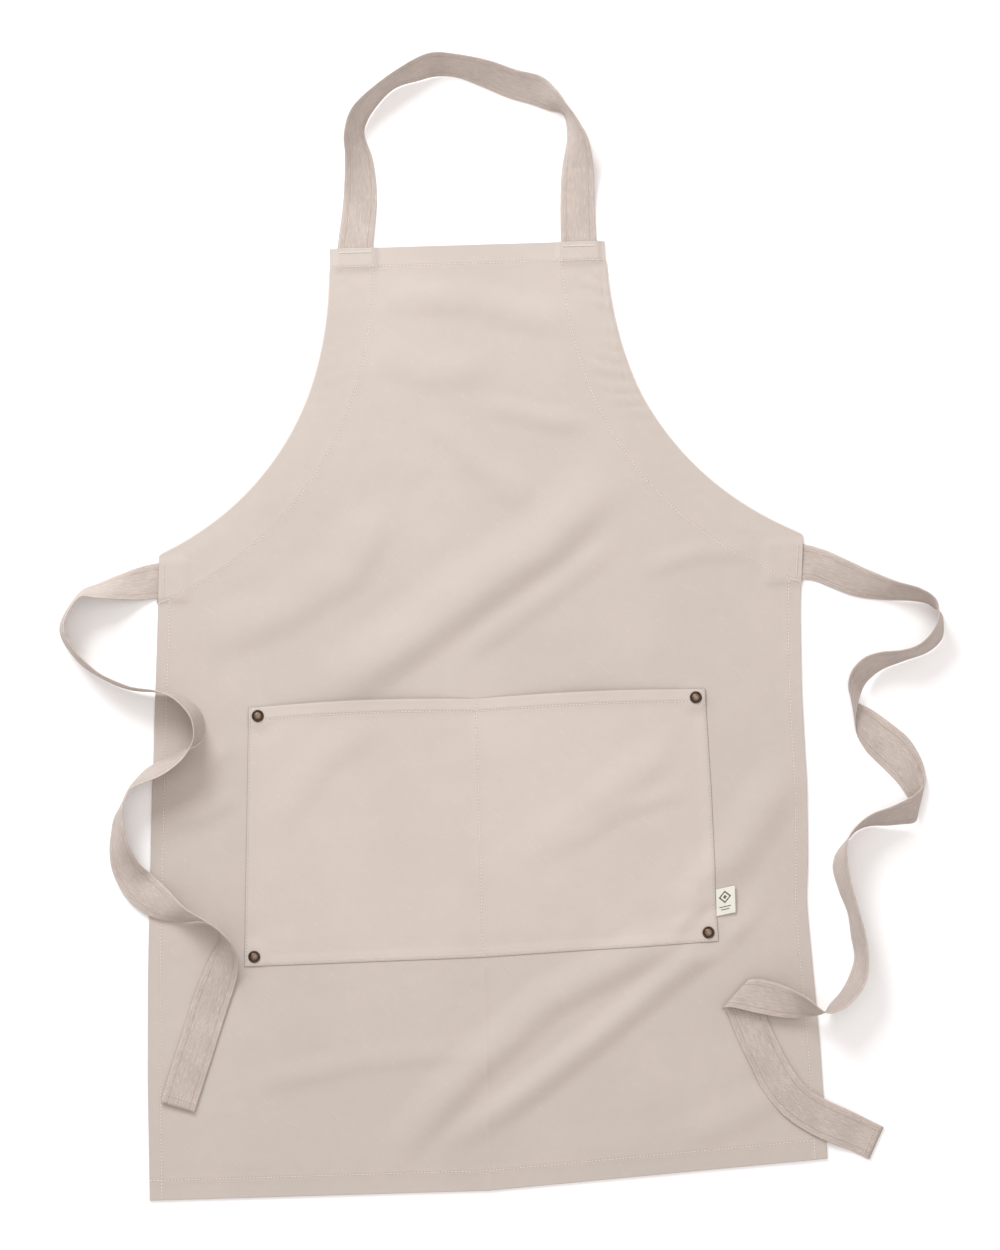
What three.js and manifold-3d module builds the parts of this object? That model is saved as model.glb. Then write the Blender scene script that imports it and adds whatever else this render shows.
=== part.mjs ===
// Full-length bib apron of cotton twill, spread out flat: a body panel with faced armholes, a wide
// two-compartment pocket riveted at its corners, a neck strap and two long waist ties of woven tape.
//
// Units are millimetres. The apron lies on its back: +Z is up through the cloth, +Y points from the
// hem to the neck and +X to the right. Shapes are drawn from the middle of the hem and the finished
// group is then moved, so that the origin is the bottom centre of everything but the two free ties.

import * as THREE from 'three';
import { mergeVertices } from 'three/addons/utils/BufferGeometryUtils.js';
import Module from 'manifold-3d';

const wasm = await Module();
wasm.setup();

// Cloth and clearances
const CLOTH = 0.6;              // one layer of twill
const TAPE_WIDTH = 32;          // neck strap and ties, 1 1/4 inch tape
const TAPE_THICK = 1.0;
const GAP = 0.3;                // clearance between pieces that touch
const THREAD = 1.0;             // width of a sewn line
const THREAD_HIGH = 0.3;

// Body panel
const BODY_LENGTH = 860;        // bib top to hem
const BIB_HALF = 125;           // half width of the bib
const WAIST_HALF = 293;         // half width at the side corners, where the ties leave
const HEM_HALF = 308;           // half width at the hem
const CORNER_DROP = 274;        // bib top down to the side corners
const TOP_HEM = 17;
const BOTTOM_HEM = 18;
const SIDE_HEM = 11;

// Armhole facings
const FACING = 40;              // width of the strip behind each armhole
const FACING_PAST = 4;          // how far it runs on below the tie's sewn end

// Pocket
const POCKET_MOUTH_Y = 448;     // mouth edge above the hem
const POCKET_DEPTH = 237;
const POCKET_TOP_HALF = 208.5;
const POCKET_BOTTOM_HALF = 216.5;
const POCKET_GAPE = 14;         // how far each mouth stands open at its middle
const MOUTH_HEM = 12;
const EDGE_SEAM = 1.2;          // sewn line in from the pocket's edge
const BOW_ACROSS = 2;           // how sharply a mouth's bow fades towards its sides
const BOW_UP = 1.3;             // and towards the pocket's foot

// Rivets
const RIVET_INSET = 9;          // centre in from the pocket's edges
const CAP_RADIUS = 5.5;
const CAP_HIGH = 2.2;
const BORE_DEPTH = 0.6;         // share of the cap's height that is bored for the post
const SHANK_RADIUS = 1.5;
const FLANGE_RADIUS = 4.5;
const FLANGE_THICK = 1.0;

// Tape ends and label
const STRAP_CENTRE = 101.5;     // neck strap's sewn ends, out from the middle
const STRAP_TUCK = 15;          // length sewn behind the bib's top hem
const STRAP_OUT = 2;            // length of the sewn end that shows past the edge
const TIE_DROP = 23;            // middle of a tie's end below the side corner
const TIE_TUCK = 26;            // length of tie sewn behind the side edge
const TIE_OUT = 3;
const TIP_FOLD = 8;             // depth of the fold that is sewn at a tie's free end
const SEAM_INSET = 2;           // how far a sewn line stops short of the edge it runs to
const BARTACK = 2;              // width of the close stitching over a tape's sewn end
const BARTACK_INSET = 4;
const LABEL_WIDE = 18;
const LABEL_TALL = 25;
const LABEL_THICK = 0.6;
const LABEL_Y = 257;            // middle of the label above the hem

// How the cloth lies: it is pulled slightly askew, with its right side drawn up and in. Each row is a
// share of the body's length above the hem and the shifts there: [share, left x, left y, middle x,
// middle y, right x, right y].
const LIE = [
  [0.000, -6, 0, -5.5, 0, -5, 20],
  [0.128, -7.5, -1, -5, 0, -6, 17],
  [0.233, -7, -2, -4.5, 1, -9.5, 13],
  [0.285, -6, -2, -4.5, 1, -11, 11.5],
  [0.326, -5, -2, -4.5, 1, -7.5, 10],
  [0.407, -3, -2, -4, 1, -4.5, 7.5],
  [0.512, 0, -2.5, -4, 1, -4.5, 5],
  [0.605, 3, -1, -2.5, 0, -1.5, 2],
  [0.682, 5, 0, -1, 0, 5, 1.5],
  [0.837, 4, 0, 0, 0, -1, 0],
  [1.000, 0, 0, 0, 0, 0, 0],
];

// Levels that follow from the layers: a facing, a tape end, then the body panel on top of them
const UNDER = CLOTH + GAP + TAPE_THICK + GAP;
const BODY_TOP = UNDER + CLOTH;
const POCKET_BASE = BODY_TOP + GAP;
const TAPE_LEVEL = CLOTH + GAP + TAPE_THICK / 2;
const CORNER_Y = BODY_LENGTH - CORNER_DROP;
const FACING_END = TIE_DROP + TAPE_WIDTH / 2 + FACING_PAST;
const POCKET_FOOT_Y = POCKET_MOUTH_Y - POCKET_DEPTH;

// Colours
const TWILL = { color: '#d6cbc2', roughness: 0.92 };
const WEBBING = { color: '#c6b9af', roughness: 0.95 };
const COTTON_THREAD = { color: '#e6dcd0', roughness: 0.85 };
const BRONZE = { color: '#4a3c33', roughness: 0.45, metalness: 0.85 };
const LABEL_CLOTH = { color: '#f3eee2', roughness: 0.9 };

const apron = new THREE.Group();

// ---------------------------------------------------------------------------------------------
// Helpers

function piece(name, geometry, look) {
  const material = new THREE.MeshStandardMaterial({ metalness: 0, ...look });
  const mesh = new THREE.Mesh(geometry, material);
  mesh.name = name;
  apron.add(mesh);
  return mesh;
}

function toManifold(geometry) {
  const bare = geometry.clone();
  bare.deleteAttribute('normal');
  bare.deleteAttribute('uv');
  const merged = mergeVertices(bare, 1e-5);
  return new wasm.Manifold(new wasm.Mesh({
    numProp: 3,
    vertProperties: new Float32Array(merged.attributes.position.array),
    triVerts: new Uint32Array(merged.index.array),
  }));
}

function toGeometry(solid) {
  const mesh = solid.getMesh();
  const geometry = new THREE.BufferGeometry();
  geometry.setAttribute('position', new THREE.BufferAttribute(mesh.vertProperties, 3));
  geometry.setIndex(new THREE.BufferAttribute(mesh.triVerts, 1));
  geometry.computeVertexNormals();
  return geometry;
}

// Where a point of the cut cloth has come to lie
function laid([x, y]) {
  const share = Math.min(Math.max(y / BODY_LENGTH, 0), 1);
  const next = Math.max(LIE.findIndex((row) => row[0] >= share), 1);
  const low = LIE[next - 1];
  const high = LIE[next];
  const mix = (share - low[0]) / (high[0] - low[0]);
  const [, lx, ly, mx, my, rx, ry] = low.map((value, i) => value + (high[i] - value) * mix);
  const across = x / clothHalf(y);
  const far = Math.min(Math.abs(across), 1);
  const [ex, ey] = across < 0 ? [lx, ly] : [rx, ry];
  return [x + mx + (ex - mx) * far ** 3, y + my + (ey - my) * far];
}

// An outline or path with points no further apart than a step, as it lies
function laidPath(points, closed = false, step = 25) {
  const ends = closed ? [...points, points[0]] : points;
  const dense = [];
  for (let i = 0; i < ends.length - 1; i += 1) {
    const [a, b] = [ends[i], ends[i + 1]];
    const count = Math.max(Math.ceil(Math.hypot(b[0] - a[0], b[1] - a[1]) / step), 1);
    for (let k = 0; k < count; k += 1) {
      dense.push([a[0] + (b[0] - a[0]) * (k / count), a[1] + (b[1] - a[1]) * (k / count)]);
    }
  }
  if (!closed) dense.push(ends[ends.length - 1]);
  return dense.map(laid);
}

// A flat slab: an outline of [x, y] points, from one level to another
function slab(outline, low, high) {
  const shape = new THREE.Shape(outline.map(([x, y]) => new THREE.Vector2(x, y)));
  const geometry = new THREE.ExtrudeGeometry(shape, { depth: high - low, bevelEnabled: false });
  return geometry.translate(0, 0, low);
}

function clothSlab(outline, low, high) {
  return slab(laidPath(outline, true), low, high);
}

function rectangle(left, right, foot, top) {
  return [[left, foot], [right, foot], [right, top], [left, top]];
}

function disc(x, y, radius, low, high, segments = 24) {
  const geometry = new THREE.CylinderGeometry(radius, radius, high - low, segments);
  return geometry.rotateX(Math.PI / 2).translate(x, y, (low + high) / 2);
}

// Points a fixed distance to the left of a path, with mitred corners
function beside(path, distance) {
  return path.map((point, i) => {
    const before = path[Math.max(i - 1, 0)];
    const after = path[Math.min(i + 1, path.length - 1)];
    const into = new THREE.Vector2(point[0] - before[0], point[1] - before[1]).normalize();
    const out = new THREE.Vector2(after[0] - point[0], after[1] - point[1]).normalize();
    if (i === 0) into.copy(out);
    if (i === path.length - 1) out.copy(into);
    const along = into.clone().add(out).normalize();
    const reach = distance / along.dot(into);
    return [point[0] - along.y * reach, point[1] + along.x * reach];
  });
}

// A sewn line: a low strip of thread along a path
function sewnLine(plan, level, width = THREAD) {
  const path = laidPath(plan);
  const outline = [...beside(path, -width / 2), ...beside(path, width / 2).reverse()];
  return slab(outline, level, level + THREAD_HIGH);
}

function mirrored(points) {
  return points.map(([x, y]) => [-x, y]).reverse();
}

// Raise every vertex of a geometry by a height that depends on where it is
function raise(geometry, height) {
  const position = geometry.attributes.position;
  for (let i = 0; i < position.count; i += 1) {
    position.setZ(i, position.getZ(i) + height(position.getX(i), position.getY(i)));
  }
  geometry.computeVertexNormals();
  return geometry;
}

// Move every vertex of a geometry to where the cloth has come to lie
function lay(geometry) {
  const position = geometry.attributes.position;
  for (let i = 0; i < position.count; i += 1) {
    const [x, y] = laid([position.getX(i), position.getY(i)]);
    position.setXY(i, x, y);
  }
  return geometry;
}

// A length of flat tape. Each station gives its left and right edge, [x, y, z, x, y, z], and the
// tape runs smoothly through them: a straight bar is bent so that it follows both edges.
function tape(stations, stepsPerStation) {
  const left = new THREE.CatmullRomCurve3(
    stations.map(([x, y, z]) => new THREE.Vector3(x, y, z)), false, 'catmullrom');
  const right = new THREE.CatmullRomCurve3(
    stations.map((s) => new THREE.Vector3(s[3], s[4], s[5])), false, 'catmullrom');
  const steps = (stations.length - 1) * stepsPerStation;
  const edge = TAPE_WIDTH / 2;
  const half = TAPE_THICK / 2;
  const section = new THREE.Shape([
    new THREE.Vector2(-edge, -half), new THREE.Vector2(0, -half), new THREE.Vector2(edge, -half),
    new THREE.Vector2(edge, half), new THREE.Vector2(0, half), new THREE.Vector2(-edge, half),
  ]);
  const geometry = new THREE.ExtrudeGeometry(section, { depth: 1, steps, bevelEnabled: false });
  const position = geometry.attributes.position;
  for (let i = 0; i < position.count; i += 1) {
    const t = Math.min(Math.max(position.getZ(i), 0), 1);
    const across = position.getX(i) / TAPE_WIDTH + 0.5;
    const a = left.getPoint(t);
    const b = right.getPoint(t);
    const ahead = left.getTangent(t).add(right.getTangent(t));
    const normal = ahead.cross(new THREE.Vector3().subVectors(a, b)).normalize();
    const point = b.lerp(a, 1 - across).addScaledVector(normal, -position.getY(i));
    position.setXYZ(i, point.x, point.y, point.z);
  }
  geometry.computeVertexNormals();
  return geometry;
}

// ---------------------------------------------------------------------------------------------
// Outline of the body panel

const armholeCurve = new THREE.CubicBezierCurve(
  new THREE.Vector2(BIB_HALF, BODY_LENGTH),
  new THREE.Vector2(BIB_HALF + 2, BODY_LENGTH - 0.45 * CORNER_DROP),
  new THREE.Vector2(WAIST_HALF - 0.67 * (WAIST_HALF - BIB_HALF), CORNER_Y + 0.18 * CORNER_DROP),
  new THREE.Vector2(WAIST_HALF, CORNER_Y),
);
const armhole = armholeCurve.getPoints(20).map((p) => [p.x, p.y]);

// Half width of the skirt at a height above the hem
function skirtHalf(y) {
  return HEM_HALF + (WAIST_HALF - HEM_HALF) * (y / CORNER_Y);
}

// Half width of the whole cloth at a height above the hem
function clothHalf(y) {
  if (y <= CORNER_Y) return skirtHalf(y);
  const above = armhole.findIndex((point) => point[1] <= y);
  if (above < 1) return BIB_HALF;
  const [high, low] = [armhole[above - 1], armhole[above]];
  return high[0] + (low[0] - high[0]) * ((high[1] - y) / (high[1] - low[1]));
}

// Half width of the pocket at a height above the hem
function pocketHalf(y) {
  const down = (POCKET_MOUTH_Y - y) / POCKET_DEPTH;
  return POCKET_TOP_HALF + (POCKET_BOTTOM_HALF - POCKET_TOP_HALF) * down;
}

// How far the pocket stands off the body: each compartment bows open towards its mouth
function pocketGape(x, y) {
  const half = pocketHalf(y) / 2;
  const across = (Math.abs(x) - half) / half;
  const up = Math.min(Math.max((y - POCKET_FOOT_Y) / POCKET_DEPTH, 0), 1);
  return POCKET_GAPE * Math.max(1 - across * across, 0) ** BOW_ACROSS * up ** BOW_UP;
}

const rivets = [
  ['top_left', -1, POCKET_MOUTH_Y - RIVET_INSET],
  ['top_right', 1, POCKET_MOUTH_Y - RIVET_INSET],
  ['bottom_left', -1, POCKET_FOOT_Y + RIVET_INSET],
  ['bottom_right', 1, POCKET_FOOT_Y + RIVET_INSET],
].map(([corner, side, y]) => {
  const plan = [side * (pocketHalf(y) - RIVET_INSET), y];
  const [x, laidY] = laid(plan);
  return { corner, plan, x, y: laidY };
});

function rivetHole({ x, y }) {
  return toManifold(disc(x, y, SHANK_RADIUS + GAP, -1, BODY_TOP + POCKET_GAPE, 16));
}

// ---------------------------------------------------------------------------------------------
// Body panel: one layer of cloth, thicker where its hems are folded under

function bodyPanel() {
  const rightSide = [[HEM_HALF, 0], ...[...armhole].reverse()];
  const leftSide = [...armhole.map(([x, y]) => [-x, y]), [-HEM_HALF, 0]];
  const outline = [...rightSide, ...leftSide];
  const sideTop = CORNER_Y - FACING_END - GAP;
  const strapSlot = TAPE_WIDTH / 2 + GAP;
  const rimTop = UNDER + CLOTH / 2;
  let cloth = toManifold(clothSlab(outline, UNDER, BODY_TOP));
  cloth = cloth.add(toManifold(clothSlab(rectangle(-HEM_HALF, HEM_HALF, 0, BOTTOM_HEM), 0, rimTop)));
  for (const side of [-1, 1]) {
    const hem = [[HEM_HALF, 0], [skirtHalf(sideTop), sideTop], [skirtHalf(sideTop) - SIDE_HEM, sideTop],
      [HEM_HALF - SIDE_HEM, 0]].map(([x, y]) => [side * x, y]);
    cloth = cloth.add(toManifold(clothSlab(side > 0 ? hem : hem.reverse(), 0, rimTop)));
  }
  const top = rectangle(-BIB_HALF, BIB_HALF, BODY_LENGTH - TOP_HEM, BODY_LENGTH);
  cloth = cloth.add(toManifold(clothSlab(top, 0, rimTop)));
  for (const side of [-1, 1]) {
    const slot = rectangle(side * STRAP_CENTRE - strapSlot, side * STRAP_CENTRE + strapSlot,
      BODY_LENGTH - STRAP_TUCK - GAP, BODY_LENGTH + 1);
    cloth = cloth.subtract(toManifold(clothSlab(slot, CLOTH, UNDER)));
  }
  // The rims are trimmed back to the body's own edges
  cloth = cloth.intersect(toManifold(clothSlab(outline, -1, BODY_TOP + 1)));
  for (const rivet of rivets) cloth = cloth.subtract(rivetHole(rivet));
  return toGeometry(cloth);
}

// ---------------------------------------------------------------------------------------------
// Armhole facings: curved strips behind the armholes, from the top hem to the side edges

const facingInner = beside(armhole, -FACING);

function armholeFacing(side) {
  const footY = CORNER_Y - FACING_END;
  const strip = [...armhole, [skirtHalf(footY), footY], ...[...facingInner].reverse()];
  const outline = side > 0 ? strip.reverse() : strip.map(([x, y]) => [-x, y]);
  const reach = BIB_HALF + FACING;
  const hem = rectangle(-reach, reach, BODY_LENGTH - TOP_HEM - GAP, BODY_LENGTH + 1);
  const strip3d = toManifold(clothSlab(outline, 0, CLOTH));
  return toGeometry(strip3d.subtract(toManifold(clothSlab(hem, -1, BODY_TOP))));
}

// ---------------------------------------------------------------------------------------------
// Pocket: one wide panel, sewn down its sides, foot and middle

function pocketPanel() {
  const panel = new THREE.BoxGeometry(2, POCKET_DEPTH, CLOTH, 32, 8, 1);
  panel.translate(0, POCKET_FOOT_Y + POCKET_DEPTH / 2, POCKET_BASE + CLOTH / 2);
  const position = panel.attributes.position;
  for (let i = 0; i < position.count; i += 1) {
    position.setX(i, position.getX(i) * pocketHalf(position.getY(i)));
  }
  raise(panel, pocketGape);
  lay(panel);
  let solid = toManifold(panel);
  for (const rivet of rivets) solid = solid.subtract(rivetHole(rivet));
  return toGeometry(solid);
}

// ---------------------------------------------------------------------------------------------
// Rivets: a post whose flange sits behind the body, and a hollow domed cap closed over it

function rivetCapLevel({ plan: [x, y] }) {
  const inward = x - Math.sign(x) * CAP_RADIUS;
  const isTop = y > POCKET_FOOT_Y + POCKET_DEPTH / 2;
  return POCKET_BASE + CLOTH + GAP + pocketGape(inward, y + (isTop ? CAP_RADIUS : 0));
}

function rivetCap(rivet) {
  const low = rivetCapLevel(rivet);
  const bore = SHANK_RADIUS + GAP;
  const depth = CAP_HIGH * BORE_DEPTH;
  const profile = [[bore, 0], [CAP_RADIUS - 0.3, 0], [CAP_RADIUS, 0.4], [CAP_RADIUS - 0.2, 1.0],
    [CAP_RADIUS - 1.0, 1.3], [CAP_RADIUS - 1.6, 1.2], [2.2, CAP_HIGH - 0.2], [0, CAP_HIGH],
    [0, depth], [bore, depth], [bore, 0]].map(([r, z]) => new THREE.Vector2(r, z));
  return new THREE.LatheGeometry(profile, 24).rotateX(Math.PI / 2).translate(rivet.x, rivet.y, low);
}

function rivetPost(rivet) {
  const flangeLow = UNDER - GAP - FLANGE_THICK;
  const tip = rivetCapLevel(rivet) + CAP_HIGH * BORE_DEPTH - GAP;
  const flangeTop = flangeLow + FLANGE_THICK;
  const profile = [[0, flangeLow], [FLANGE_RADIUS, flangeLow], [FLANGE_RADIUS, flangeTop],
    [SHANK_RADIUS, flangeTop], [SHANK_RADIUS, tip], [0, tip]].map(([r, z]) => new THREE.Vector2(r, z));
  return new THREE.LatheGeometry(profile, 20).rotateX(Math.PI / 2).translate(rivet.x, rivet.y, 0);
}

// ---------------------------------------------------------------------------------------------
// Neck strap and ties. Their sewn ends are straight; the rest lies as it falls. A station is one
// edge and then the other, with x from the middle. The neck strap's y is from the bib top, and the
// ties' from the side corners.

const strapStart = STRAP_OUT + GAP;

const NECK_LOOP = [
  [-111, 45, 3.2, -81, 42, 1.2], [-108, 81, 15, -83, 78, 1.2], [-108, 100, 27, -90, 102, 1.2],
  [-102, 120, 29, -87, 116, 1.2], [-89, 135, 30, -76, 131, 1.2], [-67, 151, 31, -62, 144, 1.2],
  [-46, 164, 30, -42, 150, 1.2], [-25, 172, 27, -23, 154, 1.2], [0, 169, 27, -3, 152, 1.2],
  [26, 163, 25, 17, 144, 1.2], [49, 155, 22, 41, 133, 1.2], [72, 148, 22, 63, 126, 1.2],
  [86, 134, 28, 78, 120, 1.2], [95, 119, 32, 92, 115, 1.2], [105, 104, 30, 94, 98, 1.2],
  [113, 88, 25, 92, 84, 1.2], [117, 63, 10, 88, 63, 1.2], [117, 33, 3.2, 86, 34, 1.2],
];

const LEFT_TIE = [
  [-306, -40, 6, -306, -10, 1.2], [-325, -39, 18, -324, -16, 1.2], [-343, -37, 29, -344, -24, 1.2],
  [-359, -37, 32, -362, -32, 1.2], [-373, -61, 32, -380, -61, 1.2], [-365, -82, 32, -372, -85, 1.2],
  [-345, -103, 32, -349, -107, 1.2], [-318, -117, 33, -319, -121, 1.5], [-293, -122, 36, -293, -124, 4.5],
  [-277, -129, 36, -275, -127, 4.5], [-264, -142, 36, -258, -138, 4.5], [-259, -154, 36, -252, -154, 4.5],
  [-260, -169, 36, -256, -170, 4.5], [-271, -186, 35, -275, -179, 4.5], [-288, -198, 34, -293, -187, 4.5],
  [-303, -204, 33, -306, -194, 2.5], [-317, -210, 33, -318, -206, 1.2], [-321, -217, 33, -324, -215, 1.2],
  [-324, -224, 33, -329, -225, 1.2], [-325, -236, 31, -336, -237, 1.2], [-324, -249, 29, -339, -250, 1.2],
  [-320, -265, 24, -341, -269, 1.2], [-312, -280, 14, -338, -289, 2.0], [-301, -291, 5.5, -325, -312, 4.5],
  [-286, -305, 16, -302, -329, 4.5], [-270, -320, 32, -278, -333, 4.5], [-255, -329, 36, -259, -333, 4.5],
  [-244, -337, 36, -248, -338, 4.5], [-234, -347, 35, -244, -347, 4.5], [-228, -357, 29, -246, -355, 4.5],
  [-226, -372, 14, -253, -367, 4.5], [-230, -391, 6, -260, -382, 4.5], [-238, -413, 4.5, -269, -403, 4.5],
  [-249, -445, 4.5, -280, -435, 4.5], [-260, -476, 4.5, -291, -466, 4.5], [-271, -507, 4.5, -301, -497, 4.5],
];

const RIGHT_TIE = [
  [317, -13, 4.5, 308, -41, 1.2], [333, -21, 9, 324, -48, 1.2], [354, -32, 16, 345, -56, 1.2],
  [378, -43, 26, 370, -60, 1.2], [398, -50, 31, 393, -61, 1.2], [411, -58, 32, 408, -64, 1.2],
  [415, -66, 33, 415, -69, 1.2], [415, -75, 32, 421, -73, 1.2], [413, -83, 31, 423, -83, 1.2],
  [406, -94, 29, 421, -97, 1.2], [395, -102, 30, 407, -109, 1.2], [379, -106, 31, 385, -116, 1.2],
  [362, -107, 29, 368, -122, 1.2], [348, -111, 27, 357, -129, 3], [338, -120, 24, 349, -137, 6],
  [334, -131, 14, 344, -148, 8], [335, -142, 5, 340, -166, 6.5], [342, -152, 2, 341, -181, 2],
  [355, -159, 1.2, 347, -193, 1.2], [371, -171, 1.2, 354, -202, 1.2], [388, -186, 1.2, 367, -215, 1.2],
  [398, -203, 1.2, 379, -229, 1.2], [402, -217, 2, 389, -246, 1.4], [401, -228, 6, 393, -258, 3.5],
  [392, -236, 13, 390, -263, 6], [380, -242, 21, 380, -264, 5], [366, -247, 28, 366, -265, 3],
  [351, -252, 30, 350, -265, 1.2], [339, -260, 31, 338, -269, 1.2], [329, -271, 33, 331, -276, 1.2],
  [326, -282, 33, 325, -282, 1.2], [326, -293, 32, 318, -292, 1.2], [328, -306, 31, 316, -305, 1.2],
  [331, -322, 31, 321, -323, 1.2], [336, -341, 32, 328, -343, 1.2], [341, -364, 31, 331, -366, 1.2],
  [343, -384, 31, 333, -384, 1.2], [340, -403, 31, 328, -401, 1.2], [329, -419, 31, 320, -415, 1.2],
  [316, -428, 34, 309, -426, 3], [302, -429, 39, 303, -433, 7], [285, -415, 33, 288, -436, 10],
  [266, -406, 19, 269, -436, 11], [250, -401, 12, 243, -431, 12], [240, -400, 12, 220, -425, 12],
  [234, -402, 8.5, 211, -426, 8.5], [239, -407, 5, 216, -431, 5], [245, -417, 4.5, 220, -443, 4.5],
  [251, -435, 4.5, 227, -461, 4.5], [259, -454, 4.5, 235, -478, 4.5], [271, -479, 4.5, 246, -502, 4.5],
  [284, -498, 4.5, 263, -524, 4.5], [303, -512, 4.5, 284, -540, 4.5], [321, -521, 4, 307, -552, 4.5],
  [338, -530, 2, 324, -559, 2.5], [355, -539, 1.2, 341, -568, 1.2],
];

function neckStrap() {
  const half = TAPE_WIDTH / 2;
  const root = (x, outward) => [x + outward * half, BODY_LENGTH + strapStart, TAPE_LEVEL,
    x - outward * half, BODY_LENGTH + strapStart, TAPE_LEVEL];
  const loop = NECK_LOOP.map(([ax, ay, az, bx, by, bz]) => (
    [ax, ay + BODY_LENGTH, az, bx, by + BODY_LENGTH, bz]));
  return tape([root(-STRAP_CENTRE, -1), ...loop, root(STRAP_CENTRE, 1)], 4);
}

function strapEnd(side) {
  const half = TAPE_WIDTH / 2;
  const middle = side * STRAP_CENTRE;
  const outline = rectangle(middle - half, middle + half,
    BODY_LENGTH - STRAP_TUCK, BODY_LENGTH + STRAP_OUT);
  return clothSlab(outline, TAPE_LEVEL - TAPE_THICK / 2, TAPE_LEVEL + TAPE_THICK / 2);
}

const tieMiddle = CORNER_Y - TIE_DROP;
const tieEdge = WAIST_HALF + TIE_OUT;

function tieEnd(side) {
  const inner = side * (WAIST_HALF - TIE_TUCK);
  const outer = side * tieEdge;
  const outline = rectangle(Math.min(inner, outer), Math.max(inner, outer),
    tieMiddle - TAPE_WIDTH / 2, tieMiddle + TAPE_WIDTH / 2);
  return slab(outline, TAPE_LEVEL - TAPE_THICK / 2, TAPE_LEVEL + TAPE_THICK / 2);
}

function fromCorner([ax, ay, az, bx, by, bz]) {
  return [ax, CORNER_Y + ay, az, bx, CORNER_Y + by, bz];
}

function waistTie(side, stations) {
  const half = TAPE_WIDTH / 2;
  const x = side * (tieEdge + GAP);
  const root = [x, tieMiddle + side * half, TAPE_LEVEL, x, tieMiddle - side * half, TAPE_LEVEL];
  return tape([root, ...stations.map(fromCorner)], 2);
}

// The folded and sewn tip of a tie: a line of thread across the tape near its end
function tipSeam(stations) {
  const [before, tip] = stations.slice(-2).map(fromCorner);
  const a = new THREE.Vector3(...tip.slice(0, 3));
  const b = new THREE.Vector3(...tip.slice(3));
  const back = new THREE.Vector3(...before.slice(0, 3)).add(new THREE.Vector3(...before.slice(3)))
    .sub(a).sub(b).setZ(0).normalize().multiplyScalar(TIP_FOLD);
  const inset = new THREE.Vector3().subVectors(b, a).normalize().multiplyScalar(SEAM_INSET);
  const from = a.clone().add(back).add(inset);
  const to = b.clone().add(back).sub(inset);
  const across = Math.hypot(to.x - from.x, to.y - from.y);
  const line = new THREE.BoxGeometry(across, THREAD, THREAD_HIGH);
  line.rotateZ(Math.atan2(to.y - from.y, to.x - from.x));
  const level = tip[2] + TAPE_THICK / 2 + 2 * GAP;
  return line.translate((from.x + to.x) / 2, (from.y + to.y) / 2, level + THREAD_HIGH / 2);
}

// ---------------------------------------------------------------------------------------------
// Sewn lines

const SEW_BODY = BODY_TOP + GAP;
const SEW_POCKET = POCKET_BASE + CLOTH + GAP;

function topHemLine() {
  const y = BODY_LENGTH - TOP_HEM;
  const reach = BIB_HALF - SEAM_INSET;
  return sewnLine([[-reach, y], [reach, y]], SEW_BODY);
}

function bottomHemLine() {
  const reach = skirtHalf(BOTTOM_HEM + THREAD) - SIDE_HEM - THREAD - 2 * GAP;
  return sewnLine([[-reach, BOTTOM_HEM], [0, BOTTOM_HEM], [reach, BOTTOM_HEM]], SEW_BODY);
}

const facingFoot = CORNER_Y - FACING_END;

function sideHemLine(side) {
  const high = facingFoot - SEAM_INSET;
  const path = [[side * (skirtHalf(SEAM_INSET) - SIDE_HEM), SEAM_INSET],
    [side * (skirtHalf(high) - SIDE_HEM), high]];
  return sewnLine(path, SEW_BODY);
}

function facingLine(side) {
  const limit = BODY_LENGTH - TOP_HEM - THREAD - GAP;
  const inner = facingInner.filter(([, y]) => y < limit);
  const path = [[inner[0][0], limit], ...inner,
    [skirtHalf(facingFoot) - SEAM_INSET, facingFoot + SEAM_INSET]];
  return sewnLine(side > 0 ? path : mirrored(path), SEW_BODY);
}

function pocketEdgeLine() {
  const top = POCKET_MOUTH_Y - EDGE_SEAM;
  const foot = POCKET_FOOT_Y + EDGE_SEAM;
  return sewnLine([[-pocketHalf(top) + EDGE_SEAM, top], [-pocketHalf(foot) + EDGE_SEAM, foot],
    [pocketHalf(foot) - EDGE_SEAM, foot], [pocketHalf(top) - EDGE_SEAM, top]], SEW_POCKET + GAP);
}

function pocketMouthLine(side) {
  const y = POCKET_MOUTH_Y - MOUTH_HEM;
  const inner = THREAD + GAP;
  const outer = pocketHalf(y) - RIVET_INSET - CAP_RADIUS - SEAM_INSET;
  const line = new THREE.BoxGeometry(outer - inner, THREAD, THREAD_HIGH, 24, 1, 1);
  line.translate(side * (inner + outer) / 2, y, SEW_POCKET + GAP + THREAD_HIGH / 2);
  return lay(raise(line, (x) => pocketGape(x, y + THREAD)));
}

function pocketDividerLine() {
  const foot = POCKET_FOOT_Y + EDGE_SEAM + THREAD + GAP;
  return sewnLine([[0, foot], [0, POCKET_MOUTH_Y - SEAM_INSET]], SEW_POCKET);
}

function strapBartack(side) {
  const y = BODY_LENGTH - BARTACK_INSET;
  const half = TAPE_WIDTH / 2 - SEAM_INSET;
  return sewnLine([[side * STRAP_CENTRE - half, y], [side * STRAP_CENTRE + half, y]], SEW_BODY, BARTACK);
}

function tieBartack(side) {
  const x = side * (WAIST_HALF - BARTACK_INSET);
  const half = TAPE_WIDTH / 2 - SEAM_INSET;
  return sewnLine([[x, tieMiddle - half], [x, tieMiddle + half]], SEW_BODY, BARTACK);
}

// ---------------------------------------------------------------------------------------------
// Label: a small woven tab held along one edge by the pocket's right side seam

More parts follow.
